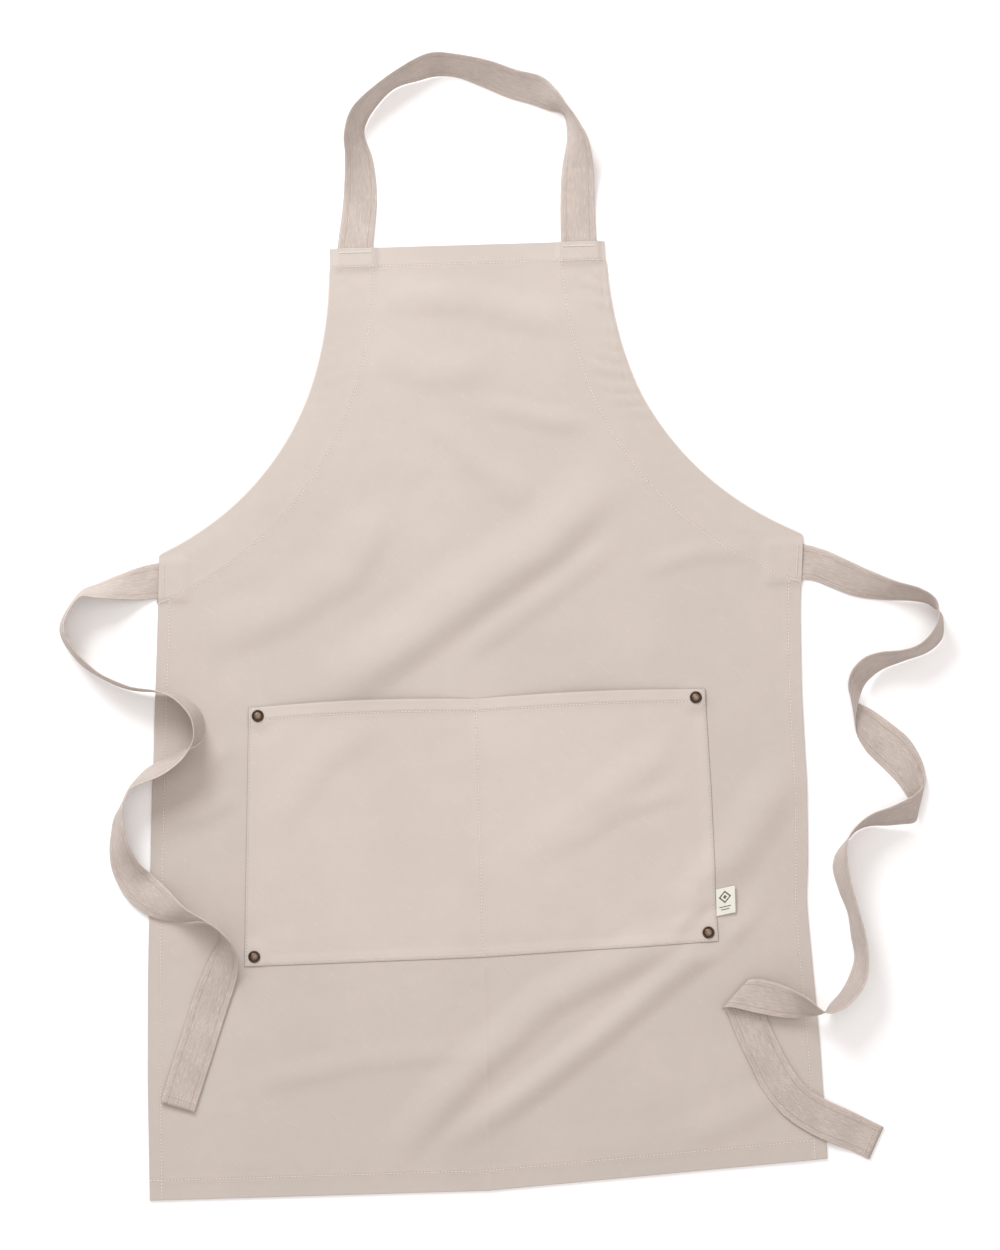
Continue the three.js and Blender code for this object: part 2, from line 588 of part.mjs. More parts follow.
function sideLabel() {
  const foot = LABEL_Y - LABEL_TALL / 2;
  const top = LABEL_Y + LABEL_TALL / 2;
  const hinge = Math.max(...[foot, top].map((y) => laid([pocketHalf(y), y])[0])) + GAP;
  const outline = rectangle(hinge + GAP, hinge + LABEL_WIDE, foot, top);
  return slab(outline, POCKET_BASE, POCKET_BASE + LABEL_THICK);
}

// ---------------------------------------------------------------------------------------------
// Assembly

piece('body_panel', bodyPanel(), TWILL);
piece('pocket_panel', pocketPanel(), TWILL);
piece('neck_strap', neckStrap(), WEBBING);
piece('side_label', sideLabel(), LABEL_CLOTH);
for (const [name, side] of [['left', -1], ['right', 1]]) {
  piece(`armhole_facing_${name}`, armholeFacing(side), TWILL);
  piece(`neck_strap_end_${name}`, strapEnd(side), WEBBING);
  piece(`tie_end_${name}`, tieEnd(side), WEBBING);
  piece(`facing_seam_${name}`, facingLine(side), COTTON_THREAD);
  piece(`side_hem_seam_${name}`, sideHemLine(side), COTTON_THREAD);
  piece(`pocket_mouth_seam_${name}`, pocketMouthLine(side), COTTON_THREAD);
  piece(`strap_bartack_${name}`, strapBartack(side), COTTON_THREAD);
  piece(`tie_bartack_${name}`, tieBartack(side), COTTON_THREAD);
}
for (const rivet of rivets) {
  piece(`rivet_cap_${rivet.corner}`, rivetCap(rivet), BRONZE);
  piece(`rivet_post_${rivet.corner}`, rivetPost(rivet), BRONZE);
}
piece('top_hem_seam', topHemLine(), COTTON_THREAD);
piece('bottom_hem_seam', bottomHemLine(), COTTON_THREAD);
piece('pocket_edge_seam', pocketEdgeLine(), COTTON_THREAD);
piece('pocket_divider_seam', pocketDividerLine(), COTTON_THREAD);

// The ties come last: the origin is taken from the pieces before them
const held = new THREE.Box3().setFromObject(apron);
piece('waist_tie_left', waistTie(-1, LEFT_TIE), WEBBING);
piece('waist_tie_right', waistTie(1, RIGHT_TIE), WEBBING);
piece('tie_tip_seam_left', tipSeam(LEFT_TIE), COTTON_THREAD);
piece('tie_tip_seam_right', tipSeam(RIGHT_TIE), COTTON_THREAD);

const middle = held.getCenter(new THREE.Vector3());
apron.position.set(-middle.x, -middle.y, -held.min.z);

export default apron;
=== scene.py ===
import math

import bpy
import numpy as np
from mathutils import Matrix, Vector


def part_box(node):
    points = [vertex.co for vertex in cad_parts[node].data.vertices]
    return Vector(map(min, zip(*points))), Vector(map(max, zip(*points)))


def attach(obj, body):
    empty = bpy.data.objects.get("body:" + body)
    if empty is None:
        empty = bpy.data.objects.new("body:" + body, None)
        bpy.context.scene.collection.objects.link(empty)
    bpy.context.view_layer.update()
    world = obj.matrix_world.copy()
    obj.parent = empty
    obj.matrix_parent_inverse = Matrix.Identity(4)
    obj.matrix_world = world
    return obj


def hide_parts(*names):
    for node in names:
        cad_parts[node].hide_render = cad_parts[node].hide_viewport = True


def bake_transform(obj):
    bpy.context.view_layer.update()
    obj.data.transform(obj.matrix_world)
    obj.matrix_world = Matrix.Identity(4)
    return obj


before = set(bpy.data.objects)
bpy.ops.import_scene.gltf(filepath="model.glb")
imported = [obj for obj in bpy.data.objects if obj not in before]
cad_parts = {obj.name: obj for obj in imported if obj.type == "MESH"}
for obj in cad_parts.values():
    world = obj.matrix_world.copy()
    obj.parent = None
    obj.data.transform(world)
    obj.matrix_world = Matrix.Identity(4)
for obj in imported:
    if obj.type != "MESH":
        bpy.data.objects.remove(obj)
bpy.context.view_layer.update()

bl_info = {
    "name": "Bib apron",
    "version": (1, 0, 0),
    "blender": (4, 5, 0),
    "location": "View3D > Sidebar > Apron",
    "description": "Cotton bib apron with a riveted pocket, a neck strap and two free waist ties",
    "category": "Add Mesh",
}

# ---------------------------------------------------------------------------------------------
# Driving sizes, in millimetres. Shapes are drawn from the middle of the hem: x to the right,
# y to the neck, z up out of the cloth. place() turns them into the frame's metres.

BODY_LENGTH = 860
BIB_HALF = 125
WAIST_HALF = 293
HEM_HALF = 308
CORNER_DROP = 274
CORNER_Y = BODY_LENGTH - CORNER_DROP
TOP_HEM = 17
BOTTOM_HEM = 18
SIDE_HEM = 11
FACING = 40
FACING_PAST = 4                # how far a facing runs on below the tie's sewn end
POCKET_MOUTH_Y = 448
POCKET_DEPTH = 237
POCKET_FOOT_Y = POCKET_MOUTH_Y - POCKET_DEPTH
POCKET_TOP_HALF = 208.5
POCKET_BOTTOM_HALF = 216.5
MOUTH_HEM = 12
POCKET_HEM = 9
EDGE_SEAM = 1.8
SEAM_INSET = 2                 # how far a sewn line stops short of the edge it runs to
STRAP_CENTRE = 101.5
STRAP_TUCK = 15
TAPE_WIDTH = 32
TAPE_LEVEL = 1.4
TAPE_OUT = 2                   # how far a sewn end shows past the cloth's edge
TIE_DROP = 23
TIE_MIDDLE = CORNER_Y - TIE_DROP
TIE_TUCK = 26
FACING_FOOT = TIE_MIDDLE - TAPE_WIDTH // 2 - FACING_PAST
BARTACK_INSET = 4
RIVETS = ("top_left", "top_right", "bottom_left", "bottom_right")

# The cloth lies a little askew, its right side drawn up and in. Each row is a share of the body's
# length above the hem and the shifts there: share, left x, left y, middle x, middle y, right x, y.
LIE = np.array([
    (0.000, -6, 0, -5.5, 0, -5, 20),
    (0.128, -7.5, -1, -5, 0, -6, 17),
    (0.233, -7, -2, -4.5, 1, -9.5, 13),
    (0.285, -6, -2, -4.5, 1, -11, 11.5),
    (0.326, -5, -2, -4.5, 1, -7.5, 10),
    (0.407, -3, -2, -4, 1, -4.5, 7.5),
    (0.512, 0, -2.5, -4, 1, -4.5, 5),
    (0.605, 3, -1, -2.5, 0, -1.5, 2),
    (0.682, 5, 0, -1, 0, 5, 1.5),
    (0.837, 4, 0, 0, 0, -1, 0),
    (1.000, 0, 0, 0, 0, 0, 0),
])

# The stretches of tape as they lie: each station is one edge and then the other, x, y, z, x, y, z.
# The neck strap's y is measured from the top of the bib, and the ties' from the side corners.
NECK_LOOP = [
    (-111, 45, 3.2, -81, 42, 1.2), (-108, 81, 15, -83, 78, 1.2), (-108, 100, 27, -90, 102, 1.2),
    (-102, 120, 29, -87, 116, 1.2), (-89, 135, 30, -76, 131, 1.2), (-67, 151, 31, -62, 144, 1.2),
    (-46, 164, 30, -42, 150, 1.2), (-25, 172, 27, -23, 154, 1.2), (0, 169, 27, -3, 152, 1.2),
    (26, 163, 25, 17, 144, 1.2), (49, 155, 22, 41, 133, 1.2), (72, 148, 22, 63, 126, 1.2),
    (86, 134, 28, 78, 120, 1.2), (95, 119, 32, 92, 115, 1.2), (105, 104, 30, 94, 98, 1.2),
    (113, 88, 25, 92, 84, 1.2), (117, 63, 10, 88, 63, 1.2), (117, 33, 3.2, 86, 34, 1.2),
]
LEFT_TIE = [
    (-306, -40, 6, -306, -10, 1.2), (-325, -39, 18, -324, -16, 1.2), (-343, -37, 29, -344, -24, 1.2),
    (-359, -37, 32, -362, -32, 1.2), (-373, -61, 32, -380, -61, 1.2), (-365, -82, 32, -372, -85, 1.2),
    (-345, -103, 32, -349, -107, 1.2), (-318, -117, 33, -319, -121, 1.5), (-293, -122, 36, -293, -124, 4.5),
    (-277, -129, 36, -275, -127, 4.5), (-264, -142, 36, -258, -138, 4.5), (-259, -154, 36, -252, -154, 4.5),
    (-260, -169, 36, -256, -170, 4.5), (-271, -186, 35, -275, -179, 4.5), (-288, -198, 34, -293, -187, 4.5),
    (-303, -204, 33, -306, -194, 2.5), (-317, -210, 33, -318, -206, 1.2), (-321, -217, 33, -324, -215, 1.2),
    (-324, -224, 33, -329, -225, 1.2), (-325, -236, 31, -336, -237, 1.2), (-324, -249, 29, -339, -250, 1.2),
    (-320, -265, 24, -341, -269, 1.2), (-312, -280, 14, -338, -289, 2.0), (-301, -291, 5.5, -325, -312, 4.5),
    (-286, -305, 16, -302, -329, 4.5), (-270, -320, 32, -278, -333, 4.5), (-255, -329, 36, -259, -333, 4.5),
    (-244, -337, 36, -248, -338, 4.5), (-234, -347, 35, -244, -347, 4.5), (-228, -357, 29, -246, -355, 4.5),
    (-226, -372, 14, -253, -367, 4.5), (-230, -391, 6, -260, -382, 4.5), (-238, -413, 4.5, -269, -403, 4.5),
    (-249, -445, 4.5, -280, -435, 4.5), (-260, -476, 4.5, -291, -466, 4.5),
    (-271, -507, 4.5, -301, -497, 4.5),
]
RIGHT_TIE = [
    (317, -13, 4.5, 308, -41, 1.2), (333, -21, 9, 324, -48, 1.2), (354, -32, 16, 345, -56, 1.2),
    (378, -43, 26, 370, -60, 1.2), (398, -50, 31, 393, -61, 1.2), (411, -58, 32, 408, -64, 1.2),
    (415, -66, 33, 415, -69, 1.2), (415, -75, 32, 421, -73, 1.2), (413, -83, 31, 423, -83, 1.2),
    (406, -94, 29, 421, -97, 1.2), (395, -102, 30, 407, -109, 1.2), (379, -106, 31, 385, -116, 1.2),
    (362, -107, 29, 368, -122, 1.2), (348, -111, 27, 357, -129, 3), (338, -120, 24, 349, -137, 6),
    (334, -131, 14, 344, -148, 8), (335, -142, 5, 340, -166, 6.5), (342, -152, 2, 341, -181, 2),
    (355, -159, 1.2, 347, -193, 1.2), (371, -171, 1.2, 354, -202, 1.2), (388, -186, 1.2, 367, -215, 1.2),
    (398, -203, 1.2, 379, -229, 1.2), (402, -217, 2, 389, -246, 1.4), (401, -228, 6, 393, -258, 3.5),
    (392, -236, 13, 390, -263, 6), (380, -242, 21, 380, -264, 5), (366, -247, 28, 366, -265, 3),
    (351, -252, 30, 350, -265, 1.2), (339, -260, 31, 338, -269, 1.2), (329, -271, 33, 331, -276, 1.2),
    (326, -282, 33, 325, -282, 1.2), (326, -293, 32, 318, -292, 1.2), (328, -306, 31, 316, -305, 1.2),
    (331, -322, 31, 321, -323, 1.2), (336, -341, 32, 328, -343, 1.2), (341, -364, 31, 331, -366, 1.2),
    (343, -384, 31, 333, -384, 1.2), (340, -403, 31, 328, -401, 1.2), (329, -419, 31, 320, -415, 1.2),
    (316, -428, 34, 309, -426, 3), (302, -429, 39, 303, -433, 7), (285, -415, 33, 288, -436, 10),
    (266, -406, 19, 269, -436, 11), (250, -401, 12, 243, -431, 12), (240, -400, 12, 220, -425, 12),
    (234, -402, 8.5, 211, -426, 8.5), (239, -407, 5, 216, -431, 5), (245, -417, 4.5, 220, -443, 4.5),
    (251, -435, 4.5, 227, -461, 4.5), (259, -454, 4.5, 235, -478, 4.5), (271, -479, 4.5, 246, -502, 4.5),
    (284, -498, 4.5, 263, -524, 4.5), (303, -512, 4.5, 284, -540, 4.5), (321, -521, 4, 307, -552, 4.5),
    (338, -530, 2, 324, -559, 2.5), (355, -539, 1.2, 341, -568, 1.2),
]

# Folds left in the cloth: height, width of the slope on its left, width on its right, and the line
# of its crest. The right-hand slope is the steep one.
FOLDS = [
    (6.2, 44, 29, [(-150, 436), (-118, 466), (-52, 508), (12, 551), (66, 586), (104, 622), (150, 660)]),
    (1.7, 18, 18, [(-32, 476), (70, 545), (144, 597)]),
    (4.1, 30, 22, [(-112, 8), (-90, 34), (-18, 108), (56, 171), (138, 211), (186, 223), (222, 240)]),
    (4.2, 18, 20, [(-68, 26), (18, 80), (92, 133), (166, 191), (222, 232), (274, 280)]),
    (3.6, 34, 30, [(176, 232), (206, 270), (240, 318), (286, 386)]),
    (2.8, 40, 26, [(-272, 494), (-176, 529), (-114, 566), (-76, 640)]),
    (2.0, 26, 20, [(-92, 812), (0, 809), (62, 790), (122, 792)]),
    (1.9, 26, 24, [(-100, 772), (-38, 744), (30, 748)]),
    (2.0, 24, 20, [(-46, 712), (-4, 668), (58, 614)]),
    (1.7, 15, 16, [(0, 718), (60, 702), (114, 690)]),
    (1.5, 30, 22, [(-201, 322), (-145, 394), (-84, 438)]),
    (1.7, 30, 24, [(14, 288), (98, 342), (190, 414)]),
    (1.6, 26, 20, [(160, 34), (226, 62), (284, 92)]),
    (1.3, 16, 14, [(146, 558), (203, 575), (262, 573)]),
    (1.6, 16, 16, [(-300, 380), (-257, 389), (-222, 418)]),
    (1.3, 16, 14, [(-292, 342), (-250, 350), (-218, 372)]),
    (1.2, 20, 14, [(-240, 96), (-120, 120), (10, 128)]),
    (1.1, 16, 14, [(60, 300), (130, 344), (196, 362)]),
    (1.3, 12, 12, [(160, 226), (196, 246), (214, 270)]),
]

BODY_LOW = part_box("body_panel")[0]
ORIGIN_X = BODY_LOW[0] + (HEM_HALF - LIE[0][1]) / 1000
ORIGIN_Y = BODY_LOW[1]
FLOOR_GAP = 0.15               # nothing lies lower than this above the table
LAYER = 0.6                    # one layer of twill
POCKET_PRESSED = 0.5           # and one pressed flat round the pocket
BODY_SPACING = 3.9             # widest step of the body's grid of points
POCKET_SPACING = 3.2           # and of the pocket's
SEAM_REACH = 60                # distance from a sewn line past which it isn't told apart
LIE_REACH = 300                # half width past which the lie is carried straight on

# The view from above, and the lights: name, place, size, power, tint and the point it is aimed at
CAMERA_PLACE = (0.0253, -0.0026, 3.033)
CAMERA_TURN = -1.7
CAMERA_LENS = 120
LIGHTS = (
    ("key_light", (-1.0, 2.0, 1.6), 1.1, 60, (0.95, 1.0, 1.025), (0.0, 0.05, 0.0)),
    ("fill_light", (0.6, 0.2, 2.9), 2.6, 22, (1, 0.96, 0.945), (0.0, 0.1, 0.0)),
)
ROOM_TINT = (1, 0.955, 0.935, 1)
ROOM_STRENGTH = 0.74


# ---------------------------------------------------------------------------------------------
# Sizes and colours that a user would change

class ApronSizes(bpy.types.PropertyGroup):
    fold_height: bpy.props.FloatProperty(
        name="Fold height", description="Share of the full height of the folds in the cloth",
        default=1.0, min=0.0, max=1.5, subtype="FACTOR")
    pocket_gape: bpy.props.FloatProperty(
        name="Pocket gape", description="How far each pocket mouth stands off the body",
        default=0.0085, min=0.0, max=0.013, unit="LENGTH")
    tape_thickness: bpy.props.FloatProperty(
        name="Tape thickness", description="Thickness of the neck strap and the ties",
        default=0.0011, min=0.0006, max=0.002, unit="LENGTH")
    stitch_pitch: bpy.props.FloatProperty(
        name="Stitch pitch", description="Distance from one stitch to the next",
        default=0.0031, min=0.0015, max=0.006, unit="LENGTH")
    stitch_width: bpy.props.FloatProperty(
        name="Thread width", description="Width of the sewing thread",
        default=0.00078, min=0.0003, max=0.0012, unit="LENGTH")


class ApronColours(bpy.types.PropertyGroup):
    twill: bpy.props.FloatVectorProperty(
        name="Twill", description="Colour of the body and pocket cloth",
        default=(0.5025, 0.4404, 0.3987), min=0, max=1, subtype="COLOR")
    tape: bpy.props.FloatVectorProperty(
        name="Tape", description="Colour of the neck strap and the ties",
        default=(0.520, 0.442, 0.397), min=0, max=1, subtype="COLOR")
    thread: bpy.props.FloatVectorProperty(
        name="Thread", description="Colour of the sewing thread",
        default=(0.82, 0.745, 0.67), min=0, max=1, subtype="COLOR")
    bronze: bpy.props.FloatVectorProperty(
        name="Bronze", description="Colour of the rivets",
        default=(0.10, 0.072, 0.055), min=0, max=1, subtype="COLOR")
    label: bpy.props.FloatVectorProperty(
        name="Label", description="Colour of the woven label",
        default=(0.74, 0.715, 0.64), min=0, max=1, subtype="COLOR")
    motif: bpy.props.FloatVectorProperty(
        name="Motif", description="Colour of the label's woven motif",
        default=(0.055, 0.062, 0.035), min=0, max=1, subtype="COLOR")


# ---------------------------------------------------------------------------------------------
# Shape of the cloth

def armhole_points(count=120):
    """The right armhole's edge on the cut cloth, from the bib's top to the side corner."""
    drop, flare = CORNER_DROP, WAIST_HALF - BIB_HALF
    corners = np.array([
        (BIB_HALF, BODY_LENGTH), (BIB_HALF + 2, BODY_LENGTH - 0.45 * drop),
        (WAIST_HALF - 0.67 * flare, CORNER_Y + 0.18 * drop), (WAIST_HALF, CORNER_Y)])
    t = np.linspace(0, 1, count)[:, None]
    weights = ((1 - t) ** 3, 3 * t * (1 - t) ** 2, 3 * t ** 2 * (1 - t), t ** 3)
    return sum(weight * corner for weight, corner in zip(weights, corners))


ARMHOLE = armhole_points()


def smooth(value):
    value = np.clip(value, 0, 1)
    return value * value * (3 - 2 * value)


def cloth_half(y):
    """Half width of the cut cloth at a height above the hem."""
    skirt = HEM_HALF + (WAIST_HALF - HEM_HALF) * y / CORNER_Y
    above = np.interp(y, ARMHOLE[::-1, 1], ARMHOLE[::-1, 0])
    return np.where(y <= CORNER_Y, skirt, above)


def pocket_half(y):
    down = (POCKET_MOUTH_Y - y) / POCKET_DEPTH
    return POCKET_TOP_HALF + (POCKET_BOTTOM_HALF - POCKET_TOP_HALF) * down


LIE_STEP = 0.0025
LIE_SHARES = np.arange(0, 1 + LIE_STEP / 2, LIE_STEP)


def eased_lie(column, reach=10):
    """A column of LIE with its corners rounded off."""
    line = np.interp(LIE_SHARES, LIE[:, 0], LIE[:, column])
    ends = np.concatenate([np.full(reach, line[0]), line, np.full(reach, line[-1])])
    window = np.hanning(2 * reach + 3)[1:-1]
    return np.convolve(ends, window / window.sum(), mode="valid")


EASED_LIE = [eased_lie(column) for column in range(1, 7)]


def laid(x, y):
    """Where a point of the cut cloth has come to lie."""
    share = np.clip(y / BODY_LENGTH, 0, 1)
    lx, ly, mx, my, rx, ry = (np.interp(share, LIE_SHARES, column) for column in EASED_LIE)
    across = x / cloth_half(y)
    far = np.clip(np.abs(across), 0, 1)
    ex, ey = np.where(across < 0, lx, rx), np.where(across < 0, ly, ry)
    return x + mx + (ex - mx) * far ** 3, y + my + (ey - my) * far


def fold_height(x, y, height, left_width, right_width, crest):
    """Height of one fold at laid points: a ridge along its crest that fades at both ends."""
    crest = np.array(crest, float)
    steps = np.hypot(*np.diff(crest, axis=0).T)
    along_start = np.concatenate([[0], np.cumsum(steps)])
    best = np.full(x.shape, np.inf)
    share, side = np.zeros(x.shape), np.zeros(x.shape)
    for i, step in enumerate(steps):
        ux, uy = (crest[i + 1] - crest[i]) / step
        px, py = x - crest[i][0], y - crest[i][1]
        along = np.clip(px * ux + py * uy, 0, step)
        gap = np.hypot(px - along * ux, py - along * uy)
        nearer = gap < best
        best = np.where(nearer, gap, best)
        share = np.where(nearer, (along_start[i] + along) / along_start[-1], share)
        side = np.where(nearer, ux * py - uy * px, side)
    width = np.where(side > 0, left_width, right_width)
    fade = smooth(share / 0.28) * smooth((1 - share) / 0.28)
    return height * fade * np.cos(math.pi / 2 * np.clip(best / width, 0, 1)) ** 2


def undulation(x, y, seed, shortest, longest, count=22):
    """Soft unevenness of about unit height, the same for the same seed."""
    draw = np.random.default_rng(seed)
    total = np.zeros(np.shape(x))
    for _ in range(count):
        length = draw.uniform(shortest, longest)
        turn, phase = draw.uniform(0, math.pi), draw.uniform(0, 2 * math.pi)
        wave = np.sin(2 * math.pi * (x * math.cos(turn) + y * math.sin(turn)) / length + phase)
        total += wave * length / longest
    return total / math.sqrt(count)


def lump(x, y, centre, flat, reach):
    """1 near a centre, falling to 0 past its flat top."""
    gap = np.hypot(x - centre[0], y - centre[1])
    return 1 - smooth((gap - flat) / reach)


def to_plan(point):
    """A frame point, in metres, in the laid cloth's millimetres."""
    return (point[0] - ORIGIN_X) * 1000, (point[1] - ORIGIN_Y) * 1000


def rivet_centres():
    centres = {}
    for corner in RIVETS:
        low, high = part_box(f"rivet_cap_{corner}")
        x, y = to_plan([(a + b) / 2 for a, b in zip(low, high)])
        centres[corner] = (x, y, low[2] * 1000)
    return centres


RIVET_CENTRES = rivet_centres()
LABEL_CENTRE = to_plan([(a + b) / 2 for a, b in zip(*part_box("side_label"))])
REST_LEVEL = 1.9               # the cloth's face where three layers lie on the table
STRAP_RISE = 1.9               # how far the strap's end underneath lifts it,
TIE_RISE = 1.4                 # a tie's end,
RIVET_RISE = 0.9               # and a rivet's flange


def height(x, y):
    """Height of the body cloth's face at laid points."""
    sizes = bpy.context.scene.apron_sizes
    total = np.full(np.shape(x), REST_LEVEL)
    for strap in (-STRAP_CENTRE, STRAP_CENTRE):
        across = 1 - smooth((np.abs(x - strap) - TAPE_WIDTH / 2) / 6)
        total += STRAP_RISE * across * smooth((y - BODY_LENGTH + STRAP_TUCK + 8) / 8)
    for side in (-1, 1):
        inward = WAIST_HALF - side * x
        across = 1 - smooth((np.abs(y - TIE_MIDDLE) - TAPE_WIDTH / 2) / 7)
        total += TIE_RISE * across * smooth((TIE_TUCK + 8 - inward) / 8)
    pinched = sum(lump(x, y, centre, 8, 22) for centre in RIVET_CENTRES.values())
    pinched = np.clip(pinched + 0.75 * lump(x, y, LABEL_CENTRE, 10, 24), 0, 1)
    total += RIVET_RISE * sum(lump(x, y, centre, 6, 16) for centre in RIVET_CENTRES.values())
    folds = sum(fold_height(x, y, *fold) for fold in FOLDS)
    edge = smooth((cloth_half(y) - np.abs(x) + 6) / 40) * smooth(y / 40)
    soft = 0.55 * undulation(x, y, 5, 70, 210) + 0.16 * undulation(x, y, 11, 26, 60)
    crease = 0.4 * np.cos(math.pi / 2 * np.clip(np.abs(x + 4) / 2.4, 0, 1)) ** 2
    crease = crease * smooth((215 - y) / 15)
    total += sizes.fold_height * (1 - pinched) * (folds + crease + np.maximum(edge * (soft + 0.75), 0))
    return total


def armhole_gap(x, y):
    """Distance in from the armhole's edge, and how far down the edge, for points of the cut cloth."""
    gap, down = np.full(x.shape, np.inf), np.zeros(x.shape)
    steps = np.concatenate([[0], np.cumsum(np.hypot(*np.diff(ARMHOLE, axis=0).T))])
    for (ex, ey), length in zip(ARMHOLE, steps):
        distance = np.hypot(np.abs(x) - ex, y - ey)
        down = np.where(distance < gap, length, down)
        gap = np.minimum(gap, distance)
    return gap, down


def puckers(x, y):
    """Small ripples square to the armholes, where the facing's seam draws the cloth up."""
    gap, down = armhole_gap(x, y)
    inside = smooth(gap / 3) * (y > FACING_FOOT)
    slanted = down + 0.55 * gap
    uneven = 1.5 * np.sin(slanted / 21) + 0.9 * np.sin(slanted / 8.7 + 1)
    ripple = np.maximum(np.sin(2 * math.pi * slanted / 15 + uneven), 0) ** 2
    reach = smooth((FACING - 8 + 12 * np.sin(slanted / 17) - gap) / 22)
    upper = smooth((y - 668) / 50) * smooth((846 - y) / 25)
    strength = np.where(x > 0, 0.16 + 1.0 * upper, 0.12 + 0.2 * upper)
    return inside * reach * strength * ripple


def body_face(x, y):
    """Laid position of points on the body's face, from points of the cut cloth."""
    px, py = laid(x, y)
    return px, py, height(px, py) + puckers(x, y)


def pocket_lift(x, y):
    """How far the pocket stands off the body: pressed down where it is sewn, bowed at its mouths."""
    gape = bpy.context.scene.apron_sizes.pocket_gape * 1000
    half = pocket_half(y) / 2
    across = (np.abs(x) - half) / half
    up = np.clip((y - POCKET_FOOT_Y) / POCKET_DEPTH, 0, 1)
    uneven = np.where(x < 0, 1.0, 0.72)
    bow = gape * uneven * np.maximum(1 - across ** 2, 0) ** 2 * up ** 2.2
    edge = np.minimum(pocket_half(y) - np.abs(x), y - POCKET_FOOT_Y)
    slack = 0.5 * smooth((edge - 4) / 25) * smooth((np.abs(x) - 2) / 20)
    return bow + slack


def turned_edge(edge, y):
    """Share of the second layer of cloth, which is turned in along the pocket's edges."""
    mouth = smooth((y - POCKET_MOUTH_Y + MOUTH_HEM + 0.5) / 1.5)
    return np.maximum(0.55 * smooth((POCKET_HEM + 1.5 - edge) / 3), 0.8 * mouth)


def pocket_face(x, y):
    """Laid position of points on the pocket's face, from points of the cut pocket."""
    half = pocket_half(y) / 2
    across = np.clip((np.abs(x) - half) / half, -1, 1)
    up = smooth((y - POCKET_MOUTH_Y + 60) / 60)
    bowed = y + (np.where(x < 0, 3.2, 2.6) * np.cos(math.pi / 2 * across) - 1.2) * up
    px, py = laid(x, bowed)
    edge = np.minimum(pocket_half(y) - np.abs(x), y - POCKET_FOOT_Y)
    level = height(px, py) + pocket_lift(x, y) + POCKET_PRESSED * (1 + turned_edge(edge, y))
    for cx, cy, low in RIVET_CENTRES.values():
        level = level + (low - level) * lump(px, py, (cx, cy), 5.6, 10)
    return px, py, level


def place(x, y, z):
    """Millimetres from the middle of the hem as points of the frame, in metres."""
    x, y, z = np.broadcast_arrays(x, y, z)
    return np.stack([x / 1000 + ORIGIN_X, y / 1000 + ORIGIN_Y, z / 1000], axis=-1)


# ---------------------------------------------------------------------------------------------
# Meshes

def mesh_object(name, points, faces, attributes=(), uv=None):
    mesh = bpy.data.meshes.new(name)
    mesh.from_pydata(np.reshape(points, (-1, 3)).tolist(), [], faces)
    for label, values in attributes:
        layer = mesh.attributes.new(label, "FLOAT", "POINT")
        layer.data.foreach_set("value", np.ravel(values).astype(np.float32))
    if uv is not None:
        corners = np.empty(len(mesh.loops), dtype=np.int32)
        mesh.loops.foreach_get("vertex_index", corners)
        layer = mesh.uv_layers.new(name="along_and_across")
        layer.data.foreach_set("uv", np.reshape(uv, (-1, 2))[corners].astype(np.float32).ravel())
    mesh.shade_smooth()
    mesh.validate()
    obj = bpy.data.objects.new(name, mesh)
    bpy.context.collection.objects.link(obj)
    return obj


def grid_faces(rows, columns, start=0, flipped=False):
    index = start + np.arange(rows * columns).reshape(rows, columns)
    quads = np.stack([index[:-1, :-1], index[:-1, 1:], index[1:, 1:], index[1:, :-1]], axis=-1)
    quads = quads.reshape(-1, 4)
    return (quads[:, ::-1] if flipped else quads).tolist()


def rim_faces(rows, columns):
    """Walls that join a face grid to the grid under it, all the way round."""
    face = np.arange(rows * columns).reshape(rows, columns)
    ring = np.concatenate([face[0, :-1], face[:-1, -1], face[-1, :0:-1], face[:0:-1, 0]])
    ahead = np.roll(ring, -1)
    under = rows * columns
    return np.stack([ring + under, ahead + under, ahead, ring], axis=-1).tolist()


def sheet_object(name, face, thickness, attributes=(), uv=None):
    """A closed sheet of cloth: its face as a grid of points, and its back straight below."""
    rows, columns = face.shape[:2]
    back = face.copy()
    back[..., 2] -= thickness
    faces = grid_faces(rows, columns) + grid_faces(rows, columns, rows * columns, True)
    faces += rim_faces(rows, columns)
    doubled = [(label, np.concatenate([np.ravel(v), np.ravel(v)])) for label, v in attributes]
    both_uv = None if uv is None else np.concatenate([uv.reshape(-1, 2)] * 2)
    points = np.concatenate([face.reshape(-1, 3), back.reshape(-1, 3)])
    return mesh_object(name, points, faces, doubled, both_uv)


def seam_gap(distance):
    return np.clip(distance, -SEAM_REACH, SEAM_REACH)


def spaced(marks, spacing):
    """Values from the first mark to the last that include every mark, at most a spacing apart."""
    values = [marks[0]]
    for low, high in zip(marks, marks[1:]):
        count = max(math.ceil((high - low) / spacing - 1e-6), 1)
        values += [low + (high - low) * (i + 1) / count for i in range(count)]
    return np.array(values)


def catmull_rom(points, t):
    """A uniform Catmull-Rom curve through points, at shares t of its stretch."""
    points = np.array(points, float)
    ends = np.vstack([2 * points[0] - points[1], points, 2 * points[-1] - points[-2]])
    at = np.clip(t, 0, 1) * (len(points) - 1)
    i = np.minimum(at.astype(int), len(points) - 2)
    s = (at - i)[:, None]
    a, b, c, d = (ends[i + k] for k in range(4))
    return 0.5 * (2 * b + (c - a) * s + (2 * a - 5 * b + 4 * c - d) * s ** 2
                  + (3 * b - a - 3 * c + d) * s ** 3)


